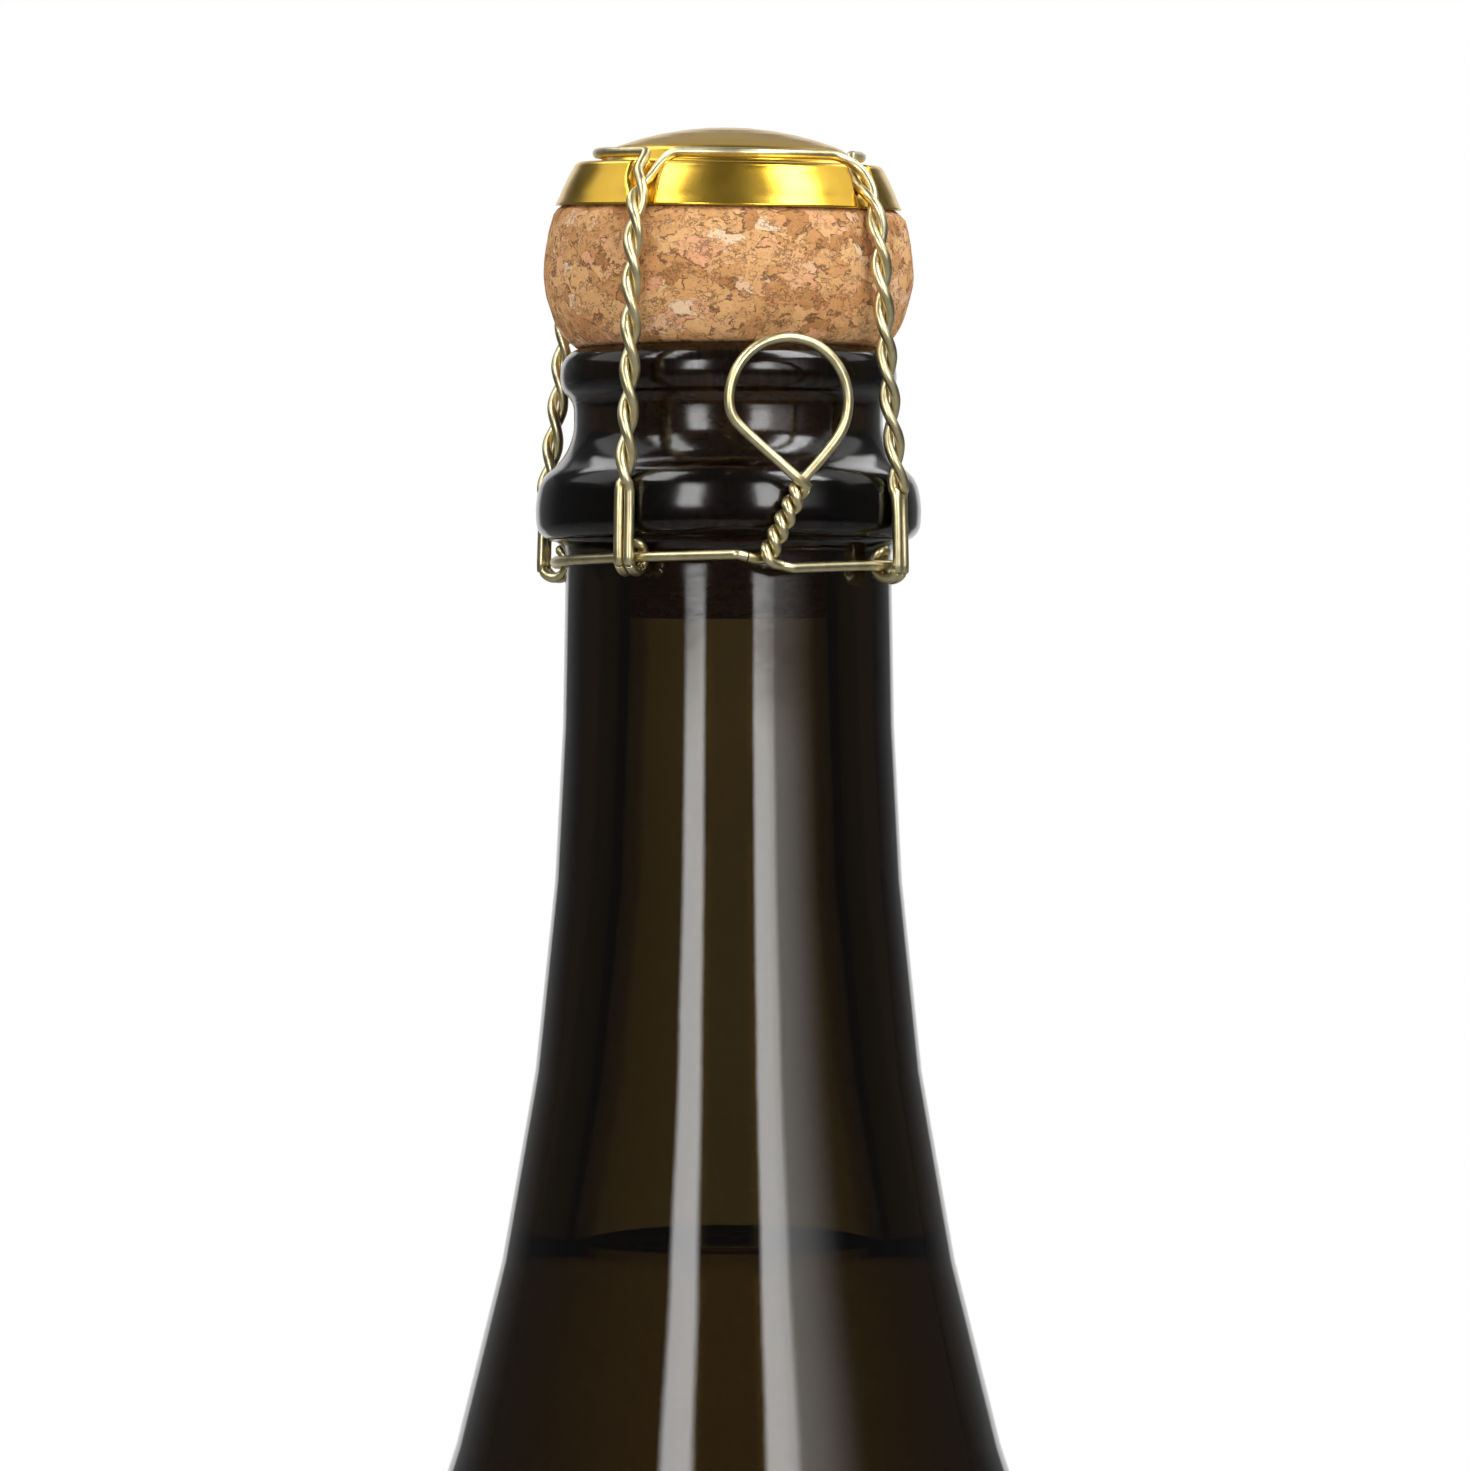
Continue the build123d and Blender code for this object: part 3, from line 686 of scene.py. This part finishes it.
def glass_material():
    """Dark bottle glass with the faint waves of a moulded wall."""
    finish = Finish("dark_bottle_glass")
    place = finish.place()
    waves = finish.texture(place, wave_scale, 1.0) * wave_share
    pits = finish.texture(place, pit_scale) * pit_share
    height = finish.node("ShaderNodeSeparateXYZ", None, {0: place}, "Z")
    at_mouth = height.rise(lip_top - mouth_rough_low, lip_top - mouth_rough_high)
    finish.surface(
        Base_Color=grey(1.0), Roughness=at_mouth * (mouth_rough - neck_rough) + neck_rough, IOR=glass_index,
        Transmission_Weight=1.0, Normal=finish.bump(waves + pits, glass_relief, relief_strength),
    )
    absorbing(finish, glass_through, 2 * wall)
    return finish.material


def wine_material():
    """Clear pale gold wine."""
    finish = Finish("pale_gold_wine")
    finish.surface(Base_Color=grey(1.0), Roughness=0.0, IOR=wine_index, Transmission_Weight=1.0)
    absorbing(finish, wine_through, 2 * bore_radius)
    return finish.material


glass.data.materials.append(glass_material())
wine.data.materials.append(wine_material())
print("glass lets through", glass_through, "of red, green and blue")

# %% [markdown]
# ## Following a wire
#
# A wire's solid is a row of flat-sided rings. Merged, its rings can be walked one after another from an
# end, and the middle of each is a point on the wire's line. So the wires need no route written here: they
# follow their solids, and only get rounder.


# %% Walk along a wire's solid
ring_corners = 6
ring_evenness = 0.01 * mm
same_plane = 0.99999


def middle_of(verts):
    """The middle of some corners, summed in the mesh's order, so that each run gives the same digits."""
    ordered = sorted(verts, key=lambda vert: vert.index)
    return sum((vert.co for vert in ordered), Vector()) / len(ordered)


def end_ring(bm):
    """The corners of a wire's flat end: six points at one distance from their middle."""
    for start in bm.faces:
        group = {start}
        waiting = [start]
        while waiting:
            beside = {face for edge in waiting.pop().edges for face in edge.link_faces}
            for face in beside - group:
                if face.normal.dot(start.normal) > same_plane:
                    group.add(face)
                    waiting.append(face)
        corners = {vert for face in group for vert in face.verts}
        middle = middle_of(corners)
        spread = [(vert.co - middle).length for vert in corners]
        if len(corners) == ring_corners and max(spread) - min(spread) < ring_evenness:
            return corners
    return set()


def wire_line(node):
    """Middle points of a wire's rings, from one end to the other."""
    bm = bmesh.new()
    bm.from_mesh(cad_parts[node].data)
    bmesh.ops.remove_doubles(bm, verts=bm.verts, dist=merge_distance)
    bm.verts.index_update()
    bm.normal_update()
    ring = end_ring(bm)
    done = set()
    line = []
    while ring:
        line.append(middle_of(ring))
        done |= ring
        ring = {edge.other_vert(vert) for vert in ring for edge in vert.link_edges} - done
    bm.free()
    return line


leg_names = ["leg_front_left", "leg_front_right", "leg_back_right", "leg_back_left"]
wire_lines = {name: wire_line(name) for name in leg_names + ["belt_wire", "pull_loop"]}
print({name: len(line) for name, line in wire_lines.items()})

# %% [markdown]
# ## The wires
#
# Each leg of the cage is one wire bent double: half a side of the top ring, a strand down, the hairpin
# foot, the other strand up and half a side again. A curve with a round bevel would give the same shape.
# Here a ring of points is pushed along the line, because that leaves a plain mesh and shows how it is done:
# at each step the ring turns by just the angle that the line turns, so the wire never twists on itself.

# %% Draw the wires round their lines
wire_radius = 0.45 * mm
wire_sides = 12
line_parts = 3
end_reach = 0.03 * mm
pair_gap = 4 * wire_radius
eye_passes = 14


def rounder(line, parts):
    """The line with points added on a smooth curve through its own."""
    ends = [line[0] * 2 - line[1]] + line + [line[-1] * 2 - line[-2]]
    points = []
    for a, b, c, d in zip(ends, ends[1:], ends[2:], ends[3:]):
        for part in range(parts):
            t = part / parts
            slope = (c - a) * t
            bend = (a * 2 - b * 5 + c * 4 - d) * t**2
            skew = (b * 3 - a - c * 3 + d) * t**3
            points.append((b * 2 + slope + bend + skew) / 2)
    return points + [line[-1]]


def strand_gaps(line):
    """Distances between the points that are as far from the wire's one end as from its other."""
    return [(line[index] - line[-1 - index]).length for index in range(len(line) // 2)]


def eased(line, passes):
    """The pull loop's line with its eye relaxed, so that its bends run into its straights."""
    gaps = strand_gaps(line)
    widest = gaps.index(max(gaps))
    start = max(index for index in range(widest) if gaps[index] < pair_gap)
    eye = range(start, len(line) - start)
    for _ in range(passes):
        new = {index: line[index] / 2 + (line[index - 1] + line[index + 1]) / 4 for index in eye}
        line = [new.get(index, point) for index, point in enumerate(line)]
    return line


def longer(line, reach):
    """The line with its two ends pushed on."""
    start = line[0] + (line[0] - line[1]).normalized() * reach
    end = line[-1] + (line[-1] - line[-2]).normalized() * reach
    return [start] + line[1:-1] + [end]


def rod(line):
    """A bmesh tube along a line, closed at both ends, with sharp rims there."""
    bm = bmesh.new()
    ahead = (line[1] - line[0]).normalized()
    turn = Vector((0, 0, 1)).rotation_difference(ahead)
    matrix = Matrix.Translation(line[0]) @ turn.to_matrix().to_4x4()
    bmesh.ops.create_circle(bm, cap_ends=True, radius=wire_radius, segments=wire_sides, matrix=matrix)
    edges = list(bm.edges)
    rims = list(bm.edges)
    for index in range(1, len(line)):
        pushed = bmesh.ops.extrude_edge_only(bm, edges=edges)["geom"]
        verts = [item for item in pushed if isinstance(item, bmesh.types.BMVert)]
        edges = [item for item in pushed if isinstance(item, bmesh.types.BMEdge)]
        bmesh.ops.translate(bm, verts=verts, vec=line[index] - line[index - 1])
        if index < len(line) - 1:
            onward = (line[index + 1] - line[index - 1]).normalized()
        else:
            onward = (line[index] - line[index - 1]).normalized()
        bend = ahead.rotation_difference(onward).to_matrix()
        bmesh.ops.rotate(bm, verts=verts, cent=line[index], matrix=bend)
        ahead = onward
    bmesh.ops.contextual_create(bm, geom=edges)
    for edge in rims + edges:
        edge.smooth = False
    bmesh.ops.recalc_face_normals(bm, faces=bm.faces)
    return bm


wire_bodies = dict.fromkeys(leg_names + ["belt_wire"], "cage") | {"pull_loop": "loop"}
wires = {}
for node, body in wire_bodies.items():
    line = rounder(wire_lines[node], line_parts)
    if node in leg_names:
        line = longer(line, end_reach)
    elif node == "pull_loop":
        line = eased(line, eye_passes)
    wires[node] = finish_mesh(node + "_drawn", rod(line))
    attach(wires[node], body)
    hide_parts(node)

# %% [markdown]
# ## Where a leg presses
#
# Each leg lies in a dent of its own in the cap's edge and the cork's side. The two strands of a leg are
# as many rings from the wire's two ends, so the points half way between them are the leg's middle, and
# their azimuth and radius at a height say how far the pieces under it are pushed in.


# %% Measure the legs' middle lines
def polar_of(point):
    """Azimuth in radians from the front towards +X, and radius."""
    return atan2(point.x, -point.y), hypot(point.x, point.y)


def leg_middle(line):
    """Middle points of a leg, sorted by height, where its two strands run side by side."""
    pairs = [(line[index] + line[-1 - index]) / 2 for index in range(len(line) // 2)]
    side_by_side = [point for point, gap in zip(pairs, strand_gaps(line)) if gap < pair_gap]
    return sorted(side_by_side, key=lambda point: point.z)


leg_middles = {name: leg_middle(wire_lines[name]) for name in leg_names}


def middle_at(points, height):
    """Azimuth and radius of a leg's middle at a height."""
    height = min(max(height, points[0].z), points[-1].z)
    for low, high in zip(points, points[1:]):
        if low.z <= height <= high.z and high.z > low.z:
            return polar_of(low.lerp(high, (height - low.z) / (high.z - low.z)))
    return polar_of(points[-1])


for name, points in leg_middles.items():
    print(name, "runs from", round(points[0].z / mm, 1), "to", round(points[-1].z / mm, 1), "mm")

# %% [markdown]
# ## The cork
#
# The part of the cork in the neck is squeezed straight; the part above swells into a mushroom, and the
# crown of it is pressed into the cap, which sits a little askew. A sphere would swell too evenly: the real
# head bulges low and narrows towards the cap. So it is turned from an outline, its top is drawn in under
# the cap's skirt, each point near a leg is pressed in, and the whole gets the low lumps of its granules.

# %% Sizes of the cork and the cap
cork_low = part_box("cork_body")[0].z
cork_fit = 0.05 * mm
head_gap = 0.3 * mm
head_base_radius = 12.4 * mm
head_radius = 16.3 * mm
head_belly = 7.3 * mm
head_upper_round = 15.0 * mm
crown_height = 12.8 * mm
crown_tilt = 3.6
crown_azimuth = 14.0
skirt_radius = 15.2 * mm
skirt_height = 3.3 * mm
cap_shoulder_radius = 13.6 * mm
cap_thickness = 0.3 * mm
pair_radius = 0.94 * mm
cork_dent_round = 1.6 * mm
cork_dent_soft = 0.25 * mm
cork_gap = 0.12 * mm
cork_bulge = 1.6
cork_step = 0.45 * mm
cork_spin_steps = 260
belly_parts = 18
lump_height = 0.12 * mm
lump_scale = 380.0
small_lump_height = lump_height / 3
small_lump_scale = 4 * lump_scale
press_share = 0.6
press_softs = 3


def crown_matrix():
    """Places the cap's own coordinates: its lower edge on z = 0, leaning to the crown's azimuth."""
    lean = Vector((sin(radians(crown_azimuth)), -cos(radians(crown_azimuth)), 0))
    axis = Vector((0, 0, 1)).cross(lean)
    turn = Matrix.Rotation(radians(crown_tilt), 4, axis)
    return Matrix.Translation((0, 0, lip_top + crown_height)) @ turn


crown = crown_matrix()
print("crown leans by", crown_tilt, "degrees")


# %% Draw, turn and dent the cork
def dented_radius(point, radius, dent_round, clearance, soft):
    """Radius at a point after the nearest leg has pressed it in, rounded by soft at the dent's rim."""
    azimuth = atan2(point.x, -point.y)
    for middle in leg_middles.values():
        leg_azimuth, leg_radius = middle_at(middle, point.z)
        beside = abs((azimuth - leg_azimuth + pi) % (2 * pi) - pi) * radius
        slack = max(beside - pair_radius * press_share, 0)
        bottom = leg_radius - pair_radius - clearance + slack**2 / (2 * dent_round)
        if bottom < radius + press_softs * soft:
            middle_radius = (bottom + radius) / 2
            radius = middle_radius - sqrt((bottom - radius) ** 2 / 4 + soft**2)
    return radius


def cork_outline():
    """Outline from the top of the crown down the swollen head to the end of the shank."""
    foot = lip_top + head_gap
    belly_height = lip_top + head_belly
    upper = (head_radius - head_upper_round, belly_height)
    top = lip_top + crown_height + skirt_height - cap_thickness
    top_angle = degrees(acos(1 - (crown_height - head_belly) ** 2 / (2 * head_upper_round**2)))
    belly = []
    for part in range(belly_parts, -1, -1):
        angle = radians(90 * part / belly_parts)
        out = (head_radius - head_base_radius) * sin(angle)
        down = (head_belly - head_gap) * cos(angle)
        belly.append((head_base_radius + out, belly_height - down))
    shank = bore_radius - cork_fit
    crown_top = [(0, top), (cap_shoulder_radius - 2 * cap_thickness, top)]
    upper_side = arc(upper, head_upper_round, top_angle, -top_angle)[:-1]
    return crown_top + upper_side + belly + [(shank, foot), (shank, cork_low), (0, cork_low)]


def under_cap(point):
    """Moves a point of the cork's side in, to where the cap's skirt leaves room for it."""
    local = crown.inverted() @ point
    skirt_slope = (skirt_radius - cap_shoulder_radius) / skirt_height
    room = skirt_radius - 2 * cap_thickness - skirt_slope * max(local.z, 0) - cork_bulge * min(local.z, 0)
    radius = hypot(local.x, local.y)
    if radius > room:
        local.x *= room / radius
        local.y *= room / radius
        return crown @ local
    return point


def make_cork():
    """The cork, dented by the legs and lumpy from its granules."""
    bm = turned(finer(cork_outline(), cork_step), cork_spin_steps)
    for vert in bm.verts:
        radius = hypot(vert.co.x, vert.co.y)
        if vert.co.z > lip_top + 2 * head_gap and radius > bore_radius:
            vert.co = under_cap(vert.co)
            radius = hypot(vert.co.x, vert.co.y)
            dented = dented_radius(vert.co, radius, cork_dent_round, cork_gap, cork_dent_soft)
            lump = (noise.noise(vert.co * lump_scale) - 1) * lump_height
            lump += noise.noise(vert.co * small_lump_scale) * small_lump_height
            vert.co.x *= (dented + lump) / radius
            vert.co.y *= (dented + lump) / radius
    bm.normal_update()
    return finish_mesh("cork_head_and_shank", bm)


cork = make_cork()
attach(cork, "cork")
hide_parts("cork_body")

# %% [markdown]
# ## The cork's granules
#
# Agglomerated cork is crushed cork glued back together: pale tan and pinkish grains of one to three
# millimetres, each cut at its own angle, with dark bark flecks and dark gaps here and there. Noise alone
# would look like clouds. A cell pattern gives each grain its own colour, and bending its coordinates with
# noise first keeps the grains from looking like crystals.

# %% Mix the cork finishes
cork_tones = [
    (0.0, (0.47, 0.20, 0.060)),
    (0.15, (0.66, 0.315, 0.11)),
    (0.45, (0.79, 0.42, 0.165)),
    (0.7, (0.87, 0.495, 0.21)),
    (0.88, (0.86, 0.415, 0.205)),
    (1.0, (0.95, 0.70, 0.44)),
]
streak_brown = (0.50, 0.22, 0.07, 1)
streak_pale = (1.0, 0.74, 0.44, 1)
bark_brown = (0.19, 0.07, 0.025, 1)
bend_scales_and_reaches = ((0.5, 0.9), (2.2, 0.55), (9.0, 0.16))
agglomerate_grain = 1.8 * mm
agglomerate_stretch = (1, 1, 1.35)
disc_grain = 1.2 * mm
disc_stretch = (1, 1, 2.5)
cork_slant = {"Scale": (2.2, 2.2, 0.8), "Rotation": (0.5, 0.4, 0)}
streaks_per_grain = 2.6
crumbs_per_grain = 2.6
bark_per_grain = 1.9
gaps_per_grain = 1.1
brown_streak_rise = (0.52, 0.66)
pale_streak_rise = (0.44, 0.30)
seam_rise = (0.11, 0.01)
seam_place_rise = (0.50, 0.60)
crack_rise = (0.11, 0.0)
crack_place_rise = (0.50, 0.41)
bark_rise = (0.62, 0.68)
bark_grain_rise = (0.30, 0.45)
brown_share = 0.65
pale_share = 0.5
crack_share = 0.75
dark_share = 0.8
grain_lift = 0.5
streak_lift = 0.8
dark_depth = 0.9
cork_relief = 0.14 * mm
cork_relief_strength = 0.9
cork_rough = 0.85


def bent_place(finish, place, grain):
    """The coordinates pushed about at three scales, each by a share of a grain."""
    bent = place
    for scale, reach in bend_scales_and_reaches:
        wander = finish.node("ShaderNodeTexNoise", None, {"Vector": place, "Scale": scale / grain}, "Color")
        shift = finish.vector("SUBTRACT", wander, (0.5, 0.5, 0.5))
        bent = finish.vector("ADD", bent, finish.vector("SCALE", shift, Scale=2 * reach * grain))
    return bent


def cell_gap(finish, place, scale):
    """Distance to the nearest line between two cells."""
    sockets = {"Vector": place, "Scale": scale}
    return finish.node("ShaderNodeTexVoronoi", {"feature": "DISTANCE_TO_EDGE"}, sockets)


def cork_material(name, grain, stretch):
    """Cork of grains that measure about grain metres, drawn out by stretch."""
    finish = Finish(name)
    place = finish.place(stretch)
    bent = bent_place(finish, place, grain)
    slanted = finish.node("ShaderNodeMapping", None, {"Vector": bent} | cork_slant)
    cells = finish.node("ShaderNodeTexVoronoi", None, {"Vector": bent, "Scale": 1 / grain}, "Color")
    tone = finish.node("ShaderNodeSeparateColor", None, {0: cells})
    lift = tone.other("Green")
    chance = tone.other("Blue")
    streaks = finish.texture(slanted, streaks_per_grain / grain, 6.0, 0.72)
    colour = finish.node("ShaderNodeValToRGB", {"stops": cork_tones}, {0: tone})
    colour = finish.mix(streaks.rise(*brown_streak_rise) * brown_share, colour, streak_brown)
    colour = finish.mix(streaks.rise(*pale_streak_rise) * pale_share, colour, streak_pale)
    broken = finish.texture(place, gaps_per_grain / grain, 3.0, 0.6)
    seams = cell_gap(finish, bent, 1 / grain).rise(*seam_rise) * broken.rise(*seam_place_rise)
    crumbs = cell_gap(finish, bent, crumbs_per_grain / grain)
    cracks = crumbs.rise(*crack_rise) * broken.rise(*crack_place_rise) * crack_share
    flecks = finish.texture(slanted, bark_per_grain / grain, 3.0, 0.6)
    bark = flecks.rise(*bark_rise) * chance.rise(*bark_grain_rise)
    dark = seams.at_least(cracks).at_least(bark)
    colour = finish.mix(dark * dark_share, colour, bark_brown)
    height = lift * grain_lift + streaks * streak_lift - dark * dark_depth
    relief = finish.bump(height, cork_relief, cork_relief_strength)
    finish.surface(Base_Color=colour, Roughness=cork_rough, Normal=relief)
    return finish.material


cork.data.materials.append(cork_material("agglomerated_cork", agglomerate_grain, agglomerate_stretch))
disc_material = cork_material("natural_cork", disc_grain, disc_stretch)
for node in ("cork_disc_upper", "cork_disc_lower"):
    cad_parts[node].data.materials.clear()
    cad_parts[node].data.materials.append(disc_material)
print("cork grains of", round(agglomerate_grain / mm, 1), "mm")

# %% [markdown]
# ## The crown cap
#
# The cap is a thin gold lacquered disc with a domed middle, a flat ledge for the wire ring and a skirt
# that flares over the cork. Each leg has pressed a channel into its edge. A boolean cut would leave a
# hard rim, and pressed sheet has none, so the cap is turned as a thin sheet and its points are drawn in
# beside the legs, as the cork's were.

# %% Draw, turn and press the cap
ledge_height = 3.85 * mm
ledge_radius = 12.9 * mm
dome_foot_radius = 10.8 * mm
dome_edge_radius = 10.2 * mm
dome_edge_height = 5.1 * mm
dome_height = 7.04 * mm
flange_steps = [(0, 0), (0.10 * mm, 0.22 * mm), (0.24 * mm, 0.50 * mm), (0.37 * mm, 0.78 * mm)]
band_top_angle = 20.0
band_bulge = 0.06 * mm
band_start = (0.03 * mm, 0.06 * mm)
band_parts = 8
rim_round = 0.75 * mm
dome_foot_run = 0.25 * mm
dome_foot_lean = (0.02 * mm, 0.15 * mm)
dome_edge_lean = (0.1 * mm, 0.2 * mm)
dome_edge_angle = 1.0
cap_dent_round = 0.35 * mm
cap_dent_soft = 0.12 * mm
cap_gap = 0.1 * mm
cap_step = 0.35 * mm
cap_spin_steps = 360


def bulged(start, end, bulge):
    """Points from start to end on a shallow curve that stands out by bulge half way."""
    points = []
    for part in range(band_parts + 1):
        t = part / band_parts
        out = 4 * bulge * t * (1 - t)
        points.append((start[0] + (end[0] - start[0]) * t + out, start[1] + (end[1] - start[1]) * t))
    return points


def cap_side(inset):
    """Outline of one side of the sheet, from the skirt's edge to the top of the dome."""
    rise = dome_height - dome_edge_height
    dome_radius = (dome_edge_radius**2 + rise**2) / (2 * rise)
    dome_centre = (0, dome_height - dome_radius - inset)
    dome_start = degrees(acos(dome_edge_radius / dome_radius)) + dome_edge_angle
    rim = (ledge_radius - inset, ledge_height - rim_round - inset)
    flange = [(skirt_radius - inset - out, height) for out, height in flange_steps]
    band_foot = (flange[-1][0] - band_start[0], flange[-1][1] + band_start[1])
    band = bulged(band_foot, on_circle(rim, rim_round, band_top_angle), band_bulge)
    foot = (dome_foot_radius - inset, ledge_height - inset)
    edge = (dome_edge_radius - inset, dome_edge_height - inset)
    outline = flange + band + arc(rim, rim_round, band_top_angle, 90 - band_top_angle)[1:]
    outline.append((foot[0] + dome_foot_run, foot[1]))
    outline.append((foot[0] + dome_foot_lean[0], foot[1] + dome_foot_lean[1]))
    outline.append((edge[0] + dome_edge_lean[0], edge[1] - dome_edge_lean[1]))
    return outline + arc(dome_centre, dome_radius, dome_start, 90 - dome_start)


def make_cap():
    """The cap's thin sheet, pressed in beside each leg."""
    outline = finer(cap_side(0)[::-1], cap_step) + finer(cap_side(cap_thickness), cap_step)
    bm = turned(outline, cap_spin_steps)
    bmesh.ops.transform(bm, matrix=crown, verts=bm.verts)
    for vert in bm.verts:
        radius = hypot(vert.co.x, vert.co.y)
        if radius > dome_foot_radius + 2 * dome_foot_run:
            pressed = dented_radius(vert.co, radius, cap_dent_round, cap_gap, cap_dent_soft)
            vert.co.x *= pressed / radius
            vert.co.y *= pressed / radius
    bm.normal_update()
    return finish_mesh("crown_cap", bm)


cap = make_cap()
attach(cap, "cap")
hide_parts("cap_disc")

# %% [markdown]
# ## Gold lacquer and champagne wire
#
# The cap is tin plate under gold lacquer, rolled before it was pressed, so its reflections are a little
# satin and break up into fine upright lines. The wire was drawn through a die and lacquered paler. Both are
# metal, so their colour is the colour of their reflections, and a cloud of two close tones keeps each from
# looking like one flat paint.

# %% Mix the cap's gold and the wire's champagne
gold_tones = ((0.78, 0.48, 0.045, 1), (0.86, 0.54, 0.075, 1))
wire_tones = ((0.66, 0.57, 0.31, 1), (0.79, 0.70, 0.44, 1))
ripple_scale = 140.0
line_scale = 2600.0
line_stretch = (1, 1, 0.06)
gold_cloud_scale = 300.0
wire_cloud_scale = 900.0
tone_rise = (0.3, 0.7)
line_share = 0.05
gold_relief = 0.06 * mm
gold_rough = 0.18
gold_rough_spread = 0.10
wire_rough = 0.28
wire_rough_spread = 0.12


def gold_material():
    """Gold lacquer on thin sheet, satin, with fine lines across the skirt."""
    finish = Finish("gold_lacquer")
    place = finish.place()
    cloud = finish.texture(place, gold_cloud_scale, 3.0)
    lines = finish.texture(finish.place(line_stretch), line_scale, 3.0, 0.6)
    ripple = finish.texture(place, ripple_scale)
    relief = finish.bump(ripple + lines * line_share, gold_relief, relief_strength)
    colour = finish.mix(cloud.rise(*tone_rise), *gold_tones)
    rough = gold_rough + cloud * gold_rough_spread
    finish.surface(Base_Color=colour, Metallic=1.0, Roughness=rough, Normal=relief)
    return finish.material


def wire_material():
    """Pale champagne gold wire."""
    finish = Finish("champagne_wire")
    cloud = finish.texture(finish.place(), wire_cloud_scale, 3.0)
    colour = finish.mix(cloud.rise(*tone_rise), *wire_tones)
    finish.surface(Base_Color=colour, Metallic=1.0, Roughness=wire_rough + cloud * wire_rough_spread)
    return finish.material


cap.data.materials.append(gold_material())
drawn = wire_material()
for piece in wires.values():
    piece.data.materials.append(drawn)
print(len(wires), "wires and the cap are lacquered")
